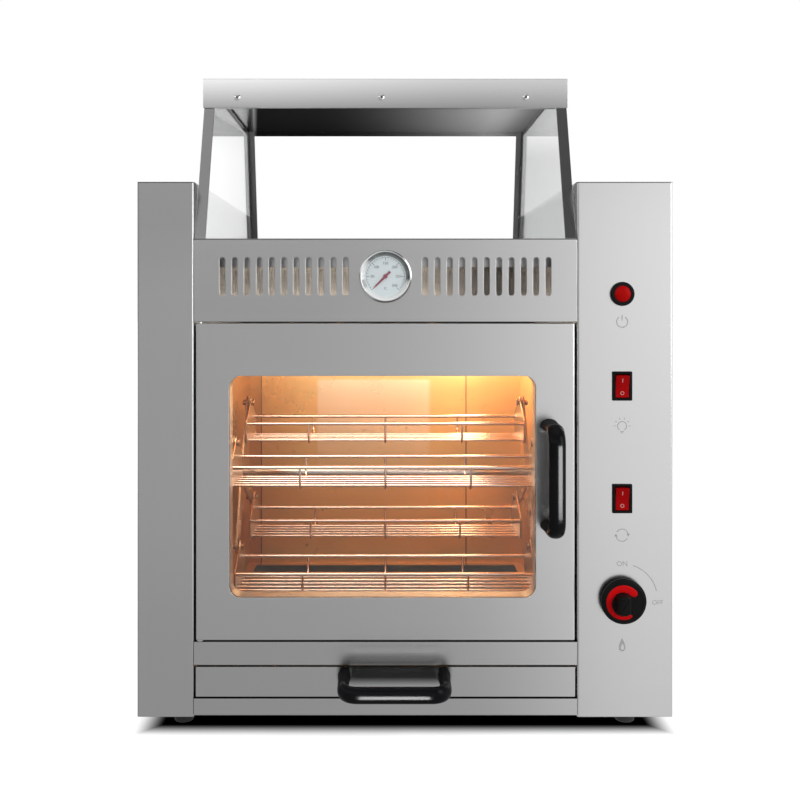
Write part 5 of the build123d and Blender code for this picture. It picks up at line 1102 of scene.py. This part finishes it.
def switch_frame(centre):
    """Frame with a rounded rim and an open mouth: outline rows round a ring."""
    sizes = ((24.0, 35.0, 1.2), (16.6, 29.0, 0.4), (21.0, 32.0, 0.4))
    rim, mouth, box = (box_outline(*size) for size in sizes)
    return capped(stack([
        (mouth, -14.0), (mouth, 1.6), (inset(mouth, -0.4), 2.0), (inset(rim, 0.5), 2.0),
        (inset(rim, 0.15), 1.8), (rim, 1.3), (rim, 0.0), (box, 0.0), (box, -22.0), (inset(box, 4), -22.0),
    ], centre))


def face_depth(v):
    """How far the cap stands out at height share v: least at 0, where two hollow faces meet."""
    return VALLEY + math.tan(TILT) * HALF_HEIGHT * np.abs(v) - 0.35 * np.sin(np.pi * np.abs(v))


def rocker_cap(centre):
    """Cap seen from the side: two hollow faces and a flat back, cut to a circle and tipped by 8 degrees."""
    v = np.linspace(-1, 1, 33)
    back = [(CAP_BACK, HALF_HEIGHT * 0.92), (CAP_BACK, HALF_HEIGHT * -0.92)]
    section = np.concatenate([np.stack([-face_depth(v), v * HALF_HEIGHT], 1), back])
    section = section * np.minimum(1, CAP_REACH / np.linalg.norm(section, axis=1))[:, None] @ TIP
    rows = [(-HALF_WIDTH, 0.8), (0.25 - HALF_WIDTH, 0.25), (0.8 - HALF_WIDTH, 0)]
    rows += [(-x, d) for x, d in rows[::-1]]
    layers = [(section * (1 - d / 14), x) for x, d in rows]
    return capped(stack(layers, centre + BACK * PIVOT_DEPTH, BACK, UP))


def on_rocker(centre, v):
    """A point just above the cap's face at height share v, and the face's up way there."""
    spot = np.array([-face_depth(v) - 0.02, v * HALF_HEIGHT]) @ TIP
    way = spread(np.array([-math.tan(TILT) * np.sign(v), 1.0]) @ TIP, BACK, UP)
    return centre + BACK * PIVOT_DEPTH + spread(spot, BACK, UP), way / np.linalg.norm(way)


def printed_band(inner, outer, origin, y_way=UP, lift=0.1, whole=True):
    """Flat print between two lines of points, which are rings if it is whole."""
    rows = [(inner, 0), (inner, lift), (outer, lift), (outer, 0)]
    return grid(stack(rows, origin, RIGHT, y_way), close_rows=True, close_cols=whole)


for switch, body in (("light_switch", "light_rocker"), ("rotation_switch", "rotation_rocker")):
    housing = f"{switch}_housing"
    at = on_front(housing)
    piece(f"{switch}_frame", switch_frame(at), "black_satin", housing, sharp=30)
    piece(f"{switch}_cap", rocker_cap(at), "red_cap", f"{switch}_rocker", body, 30)
    spot, way = on_rocker(at, 0.52)
    bar_mark = slab(box_outline(0.9, 5.0, 0.4, 3), [(0, 0), (0.12, 0)], spot, RIGHT, way)
    ring_mark = printed_band(1.6 * unit(around(40)), 2.3 * unit(around(40)), *on_rocker(at, -0.56), 0.12)
    piece(f"{switch}_marks", merged(bar_mark, ring_mark), "white_print", body=body)
print("switches made")

# %% [markdown]
# ## Printed signs
#
# Small grey signs under each control say what it does without words: a broken
# ring for power, a bulb for the chamber lamp, turning arrows for the wheel and a
# flame for the gas.  ON and OFF stand beside the knob, joined by an arc.

# %% Signs


def sign_at(x_shift, z):
    """Point just off the right column's face, beside the controls' middle, in millimetres."""
    return np.array([CONTROL_X + x_shift, Y_FRONT - 0.02, z])


def arc_stroke(radius, start, end, width, origin):
    """Printed arc, between two radii and from one angle to another."""
    n = 40
    ring = unit(np.radians(np.linspace(start, end, n)))
    inner, outer = ring * (radius - width / 2), ring * (radius + width / 2)
    points, faces = printed_band(inner, outer, origin, whole=False)
    return points, faces + [[0, n, 2 * n, 3 * n], [4 * n - 1, 3 * n - 1, 2 * n - 1, n - 1]]


def sign(name, *shapes):
    piece(name, merged(*shapes), "panel_print")


at = sign_at(0, 494.0)
sign("sign_power", strokes([(0, 1.5, 0, 8.6, 1.1)], at), arc_stroke(6.6, 125, 415, 1.1, at))

at = sign_at(0, 368.0)
rays_out = [(*(8.0 * way), *(10.4 * way), 0.8) for way in unit(np.radians([0, 36, 72, 108, 144, 180]))]
socket_lines = strokes([(-2, -5.6, 2, -5.6, 0.8), (-1.6, -7.2, 1.6, -7.2, 0.8)], at)
sign("sign_lamp", arc_stroke(5.4, -60, 240, 0.9, at + UP), socket_lines, strokes(rays_out, at + UP))

at = sign_at(0, 238.0)
head = np.array([(5.2, 1.6), (9.4, 1.6), (7.3, -1.8)])
arrows = [arc_stroke(7.3, start, start + 138, 0.9, at) for start in (12, 192)]
sign("sign_wheel", *arrows, *(slab(flat, [(0, 0), (0.1, 0)], at) for flat in (head, -head)))

t = around(48)
drop = np.stack([5.2 * np.sin(t) * np.sin(t / 2) ** 1.2, 8.0 * np.cos(t) - 0.5], 1)[::-1]
sign("sign_flame", printed_band(drop * 0.5 + [0.4, -2.6], drop, sign_at(0, 107.0)))
lettering("sign_on", "ON", 8.5, sign_at(0, 203.5), "panel_print")
lettering("sign_off", "OFF", 7.5, sign_at(42.5, 157.0), "panel_print")
sign("sign_arc", arc_stroke(42.5, 14, 72, 0.9, sign_at(0, knob_at[2])))
print("signs made")

# %% [markdown]
# ## Screws and feet
#
# Domed heads with a cross recess: the height of the head is a function of
# radius and angle, a dome minus a cross-shaped dip.  The rear posts lean, so
# the screws of the glass follow them.

# %% Screws
SCREW_RADIUS, SCREW_HEIGHT, SCREW_FOOT = 4.0, 2.0, 0.15
HEADER_SCREWS, HEADER_LEVEL, GLASS_SCREW_LEVELS = (-187.0, -5.0, 177.0), 776.5, (740.0, 662.0)
POST_TOP, POST_DEPTH, POST_LEAN = 792.0, 436.8, 55.0 / 218.0
heads, side_heads, recess_shades = [], [], []


def screw_head(centre, axis, spoke, turn_by):
    """Height over (radius, angle): dome, less a cross whose arms are 1.1 mm wide."""
    r = np.concatenate([[0], np.linspace(0.25, 0.92, 13), [0.97, 1.0]]) * SCREW_RADIUS
    x, y = np.moveaxis(r[:, None, None] * unit(around(48)), -1, 0)
    u = np.abs(x * math.cos(turn_by) + y * math.sin(turn_by))
    v = np.abs(y * math.cos(turn_by) - x * math.sin(turn_by))
    arm = np.minimum(np.maximum(u / 2.1, v / 0.55), np.maximum(v / 2.1, u / 0.55))
    dip = 1.1 * np.clip((1.15 - arm) / 0.3, 0, 1)
    dome = SCREW_HEIGHT * np.sqrt(np.clip(1.02 - (r / SCREW_RADIUS) ** 2.6, 0, 1))
    height = np.maximum(dome[:, None] - dip, SCREW_FOOT)
    height[-1] = 0.0
    third = np.cross(axis, spoke)
    points = centre + x[..., None] * spoke + y[..., None] * third + height[..., None] * axis
    return grid(np.concatenate([points, np.broadcast_to(centre, (1, 48, 3))]))


def add_screw(centre, axis, spoke, turn_by, into):
    """A head, and painted shade in its cross: two dark crossed bars just above the recess."""
    into.append(screw_head(centre, axis, spoke, turn_by))
    u = spread(unit(turn_by), spoke, np.cross(axis, spoke))
    v = np.cross(axis, u)
    for long_way, short_way in ((u, v), (v, -u)):
        outline = [(-2.2, -0.6), (2.2, -0.6), (2.2, 0.6), (-2.2, 0.6)]
        recess_shades.append(slab(outline, [(0.6, 0), (1.15, 0.05)], centre, long_way, short_way))


for i, shift in enumerate(HEADER_SCREWS):
    add_screw(np.array([X_CENTRE + shift, LID_FRONT, HEADER_LEVEL]), OUT, RIGHT, 0.4 + i, heads)
for x_glass, way in ((X_OPEN_LEFT + 6.4, RIGHT), (X_OPEN_RIGHT - 6.4, -RIGHT)):
    for z in GLASS_SCREW_LEVELS:
        y_post = Y_FRONT + POST_DEPTH + POST_LEAN * (POST_TOP - z)
        add_screw(np.array([x_glass, y_post, z]), way, UP, 0.9 + z, side_heads)
piece("canopy_screw_heads", merged(*heads), "chrome", "canopy_screws", sharp=55)
piece("glass_screw_heads", merged(*side_heads), "steel_painted_shade", "canopy_screws", sharp=55)
# Painted shade: near-black bars in the screws' cross recesses.
piece("canopy_screw_recesses", merged(*recess_shades), "screw_recess")
print("screws", len(heads) + len(side_heads))

# %% Feet
FOOT_RADIUS = 12.0
foot_low, foot_high = limits("feet")
foot_profile = rounded(
    [(0, 0), (0, 11.2), (2.0, FOOT_RADIUS), (9.0, 11.4), (10.0, 10.2), (11.5, 10.2), (12.5, 11.0),
     (22.0, 10.46), (22.0, 0)],
    [0, 1.5, 1, 1, 0.5, 0.5, 0.5, 0, 0], 4,
)
(left, right), (front, rear) = ((foot_low[i] + FOOT_RADIUS, foot_high[i] - FOOT_RADIUS) for i in (0, 1))
feet = [turned(foot_profile, np.array([x, y, 0.0]), 40, UP) for x in (left, right) for y in (front, rear)]
piece("rubber_feet", merged(*feet), "rubber", "feet")
print("feet from", foot_low, "to", foot_high)

# %% [markdown]
# ## Basket wheel
#
# The wheel's shaft is a turned bar with journals and a coupling.  Each basket
# hangs from two pins and is made of drawn wire: two top rails, five floor
# wires and three bent ribs between pressed end plates.

# %% Shaft and pins
WHEEL, WHEEL_RADIUS = middle("wheel_shaft") * [0, 1, 1], 110.0
shaft_left, shaft_right = (corner[0] for corner in limits("wheel_shaft"))
plate_left, plate_right = limits("wheel_plate_left")[1][0], limits("wheel_plate_right")[0][0]
wheel_left, wheel_right = plate_left - 3.0, plate_right + 3.0
coupling, coupling_end = 217.3, shaft_right - 11.0
shaft_profile = rounded(
    [(shaft_left, 0), (shaft_left, 6.0), (plate_left, 6.0), (plate_left, 9.0), (plate_right, 9.0),
     (plate_right, 6.0), (coupling, 6.0), (coupling, 10.0), (coupling_end, 10.0), (coupling_end, 4.0),
     (shaft_right, 4.0), (shaft_right, 0)],
    [0, 0.5, 0, 0.8, 0.8, 0, 0, 0.8, 0.8, 0, 0.5, 0], 4,
)
shaft = turned(shaft_profile, WHEEL, 48, RIGHT, UP)
piece("shaft_turned", shaft, "shaft_steel", "wheel_shaft", "basket_wheel")
PIVOTS = WHEEL + spread(WHEEL_RADIUS * unit(np.radians([60, 150, 240, 330])), BACK, UP)
print("wheel plates at x", wheel_left, wheel_right, "shaft", shaft_left, shaft_right)


def wing_nut_pin(centre, inward):
    """Pin with a head inside, and a wing nut outside whose two ears flare out."""
    axis = RIGHT * inward
    pin = [(-6.4, 0), (-6.4, 3.0), (9.0, 3.0), (9.0, 5.5), (11.0, 5.5), (11.0, 0)]
    pin = rounded(pin, [0, 0.6, 0, 0.3, 0.8, 0], 3)
    nut = rounded([(-6.0, 0), (-6.0, 3.6), (-1.0, 4.6), (0.0, 4.6), (0.0, 0)], [0, 0.6, 0.5, 0, 0], 3)
    shapes = [turned(profile, centre, 24, axis, UP) for profile in (pin, nut)]
    for sideways in (-BACK, BACK):
        ear = centre + spread([(-1.6, 3.4), (-2.6, 5.2), (-3.6, 6.8), (-4.4, 8.2)], axis, sideways)
        shapes.append(bar(ear, UP, [1.0, 1.0, 0.95, 0.7], [1.5, 1.7, 1.6, 0.9], 14))
    return merged(*shapes)


sides = ((wheel_left, 1), (wheel_right, -1))
pins = [wing_nut_pin(pivot + RIGHT * x, inward) for x, inward in sides for pivot in PIVOTS]
piece("basket_pivots", merged(*pins), "heated_pin", "basket_pins", "basket_wheel")
print("pins", len(pins))

# %% Baskets
END_LEFT, END_RIGHT, PLATE = wheel_left + 5.0, wheel_right - 5.0, 2.0
HALF, CORNER, FLOOR_STEP, RIB_STEP = 50.0, 13.0, 17.0, 112.0
RAIL_LEVEL, FLOOR_LEVEL, RIB_LEVEL = -26.0, -52.0, -54.6


def rail(at, radius, segments):
    """Straight drawn wire from end plate to end plate."""
    left, right = END_LEFT + PLATE, END_RIGHT - PLATE
    return turned([(left, 0), (left, radius), (right, radius), (right, 0)], at, segments, RIGHT, OUT)


def rib(x, pivot):
    """Bent wire: down from one rail, under the floor and up to the other."""
    corners = [(-HALF, RAIL_LEVEL), (-HALF, RIB_LEVEL), (HALF, RIB_LEVEL), (HALF, RAIL_LEVEL)]
    return bar(pivot + RIGHT * x + spread(rounded(corners, CORNER, 10), BACK, UP), RIGHT, 1.5, 1.5, 12)


def end_plate(x, pivot, inward):
    """Pressed plate: a washer between the pin hole and the plate's outline."""
    edge, foot = HALF + 4.0, RIB_LEVEL - 1.5
    outline = rounded(
        [(-edge, foot), (edge, foot), (edge, -21.5), (9.0, 2.0), (4.5, 8.6), (-4.5, 8.6), (-9.0, 2.0),
         (-edge, -21.5)],
        [CORNER, CORNER, 2.0, 4.0, 4.0, 4.0, 4.0, 2.0], 6, closed=True,
    )
    outline = evenly(outline, 160, closed=True)
    ring = unit(np.arctan2(outline[:, 1], outline[:, 0]))
    hole, boss = 3.08 * ring, 5.2 * ring
    rows = [(hole, 0.0), (hole, PLATE), (boss, PLATE)]
    pressed = ((3.4, PLATE), (2.4, 1.4), (1.4, 1.4), (0.5, PLATE), (0.0, 1.6), (0.0, 0.4), (0.4, 0.0))
    rows += [(inset(outline, distance), height) for distance, height in pressed] + [(boss, 0.0)]
    rows = [(flat, inward * height) for flat, height in rows]
    return grid(stack(rows, pivot + RIGHT * x, BACK, UP), close_rows=True)


for number, pivot in enumerate(PIVOTS, start=1):
    rails = [rail(pivot + BACK * y + UP * RAIL_LEVEL, 2.5, 18) for y in (-HALF, HALF)]
    rails += [rail(pivot + BACK * (FLOOR_STEP * i) + UP * FLOOR_LEVEL, 1.75, 12) for i in range(-2, 3)]
    ribs = [rib(X_CENTRE + RIB_STEP * i, pivot) for i in (-1, 0, 1)]
    node, body = f"basket_{number}", f"basket_{number}_body"
    wires = piece(f"basket_{number}_wires", merged(*rails, *ribs), "wire_bright", node, body)
    # How far each point looks down sets the wire's painted underside shade.
    normals = np.zeros(len(wires.data.vertices) * 3)
    wires.data.vertices.foreach_get("normal", normals)
    looks_down = np.clip(0.15 - normals[2::3], 0, 1)
    wires.data.attributes.new("painted_underside_shade", "FLOAT", "POINT").data.foreach_set("value", looks_down)
    plates = merged(end_plate(END_LEFT, pivot, 1), end_plate(END_RIGHT, pivot, -1))
    piece(f"basket_{number}_ends", plates, "heated_plate", node, body, 25)
print("baskets hang at", [tuple(np.round(pivot[1:], 1)) for pivot in PIVOTS])

# %% [markdown]
# ## Finishes for the sheet metal
#
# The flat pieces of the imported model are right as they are: folded sheets,
# glass and tubes.  They only need their finish.  A node that a new piece
# stands for isn't shown, and takes plain steel so that none is left bare.

# %% Finish every remaining node
NODE_FINISH = {
    "steel_column": ["left_column_shell", "right_column_shell", "rear_panel"],
    "steel_panel": [
        "bottom_front_rail", "lower_front_rail", "upper_front_panel", "drawer_front", "display_deck",
    ],
    "steel_door": ["door_shell"],
    "steel_canopy": ["canopy_front_pillars"],
    "steel_roof": ["canopy_roof"],
    "steel_painted_shade": ["canopy_rear_posts"],
    "steel_plain": ["door_hinge_brackets", "door_inner_panel", "motor_bracket"],
    "steel_heated": ["chamber_liner", "burner_tubes"],
    "steel_bright": ["door_hinge_pins", "thermometer_probe", "valve_stem", "valve_collar"],
    "heated_plate": ["wheel_plate_left", "wheel_plate_right"],
    "galvanised": ["base_pan", "drawer_runners", "drawer_tray"],
    "clear_glass": ["canopy_glass_left", "canopy_glass_right", "door_glass"],
    "brass": ["gas_valve", "gas_pipe", "shaft_bearings"],
    "motor_metal": ["gear_motor"],
    "ceramic": ["oven_lamp_holder", "spark_electrode"],
    "bulb_glow": ["oven_lamp_bulb"],
    "seal_rubber": ["door_seal"],
    "black_satin": ["cable_gland"],
}
stood_for = {name for made in PIECES for name in made.get("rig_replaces", [])}
NODE_FINISH["steel_plain"] += sorted(stood_for)
for finish_name, names in NODE_FINISH.items():
    for name in names:
        materials = frame["nodes"][name].data.materials
        materials.clear()
        materials.append(FINISHES[finish_name])
bare = set(frame["nodes"]) - {name for names in NODE_FINISH.values() for name in names}
print("without a finish", sorted(bare), "replaced", len(stood_for), "pieces", len(PIECES))
